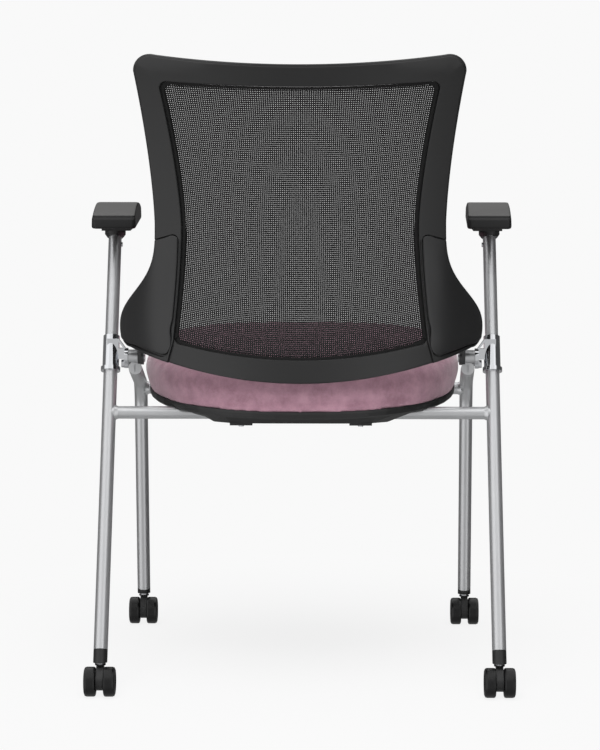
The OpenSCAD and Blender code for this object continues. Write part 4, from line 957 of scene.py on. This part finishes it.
def floorFinish():
    # a matt floor near the chair that keeps its soft shadow, fading outwards into the plain white ground;
    # mirror-like surfaces see the studio beyond it
    f = Finish("studioFloor", (0.88, 0.88, 0.88), 0.9)
    where = f.node("TexCoord", out="Object")
    far = f.node("VectorMath", {"operation": "LENGTH"}, out="Value", Vector=where)
    path = f.tree.nodes.new("ShaderNodeLightPath")
    seen = Wire(f.tree, path.outputs["Is Camera Ray"])
    through = Wire(f.tree, path.outputs["Is Transmission Ray"])
    plain = (studio["floorPlain"] + (far - studio["plainFrom"]) * studio["plainRise"]).clipped()
    plain = seen.most(through) * plain
    glow = f.tree.nodes.new("ShaderNodeEmission")
    glow.inputs["Color"].default_value = (studio["white"],) * 3 + (1,)
    clear = f.tree.nodes.new("ShaderNodeBsdfTransparent")
    first, second = f.tree.nodes.new("ShaderNodeMixShader"), f.tree.nodes.new("ShaderNodeMixShader")
    for mix, factor, under, over in ((first, path.outputs["Is Glossy Ray"], f.shader, clear),
                                     (second, plain.out, first, glow)):
        f.tree.links.new(factor, mix.inputs[0])
        f.tree.links.new(under.outputs[0], mix.inputs[1])
        f.tree.links.new(over.outputs[0], mix.inputs[2])
    f.tree.links.new(second.outputs[0], f.tree.nodes["Material Output"].inputs["Surface"])
    return f.mat


def makeFloor():
    # a round sheet at the height of the floor
    n = studio["floorSides"]
    a = np.radians(np.arange(n) * 360 / n)
    ring = np.stack([np.cos(a), np.sin(a), np.zeros(n)], -1) * studio["floorRadius"]
    mesh = bpy.data.meshes.new("studioFloor")
    mesh.from_pydata(ring.tolist(), [], [list(range(n))])
    obj = bpy.data.objects.new("studioFloor", mesh)
    bpy.context.scene.collection.objects.link(obj)
    mesh.materials.append(floorFinish())


def makeWorld():
    # white for the camera; for all other rays the stops round the horizon, mixed into the ceiling above and
    # the ground below, and dimmed where the ray isn't a mirror's
    world = bpy.data.worlds.new("studioWorld")
    bpy.context.scene.world = world
    world.use_nodes = True
    tree = world.node_tree
    path = tree.nodes.new("ShaderNodeLightPath")
    seen = Wire(tree, path.outputs["Is Camera Ray"]).most(Wire(tree, path.outputs["Is Transmission Ray"]))
    split = tree.nodes.new("ShaderNodeSeparateXYZ")
    tree.links.new(tree.nodes.new("ShaderNodeTexCoord").outputs["Generated"], split.inputs[0])
    x, y, z = [Wire(tree, split.outputs[i]) for i in range(3)]
    turn = (0.0 - x).maths("ARCTAN2", 0.0 - x, y) / (2 * math.pi) + 0.5
    ramp = tree.nodes.new("ShaderNodeValToRGB")
    tree.links.new(turn.out, ramp.inputs[0])
    for i, (place, level) in enumerate(roundStops):
        stop = ramp.color_ramp.elements[i] if i < 2 else ramp.color_ramp.elements.new(place)
        stop.position, stop.color = place, (level, level, level, 1)
    around = Wire(tree, ramp.outputs[0]) * studio["strength"]
    above = ((z - studio["ceilingFrom"]) * studio["ceilingRise"]).clipped()
    below = ((-studio["groundFrom"] - z) * studio["groundRise"]).clipped()
    level = around * (1.0 - above) * (1.0 - below) + above * studio["ceiling"] + below * studio["ground"]
    glossy = Wire(tree, path.outputs["Is Glossy Ray"])
    level = level * (glossy + (1.0 - glossy) * studio["dim"])
    level = level * (1.0 - seen) + seen * studio["white"]
    ground = tree.nodes["Background"]
    ground.inputs["Color"].default_value = (1, 1, 1, 1)
    tree.links.new(level.out, ground.inputs["Strength"])


def softbox(name, place, target, size, power):
    # a rectangular lamp that faces the target
    data = bpy.data.lights.new(name, "AREA")
    data.shape, data.size, data.size_y, data.energy = "RECTANGLE", size[0], size[1], power
    lamp = bpy.data.objects.new(name, data)
    lamp.location = place
    lamp.rotation_euler = (Vector(target) - Vector(place)).to_track_quat("-Z", "Y").to_euler()
    lamp.visible_glossy = False  # bright metal mirrors the world's own soft boxes
    bpy.context.scene.collection.objects.link(lamp)


makeFloor()
makeWorld()
for name, lamp in lamps.items():
    softbox(name, **lamp)
bpy.context.scene.view_settings.view_transform = "Standard"
print("studio made")
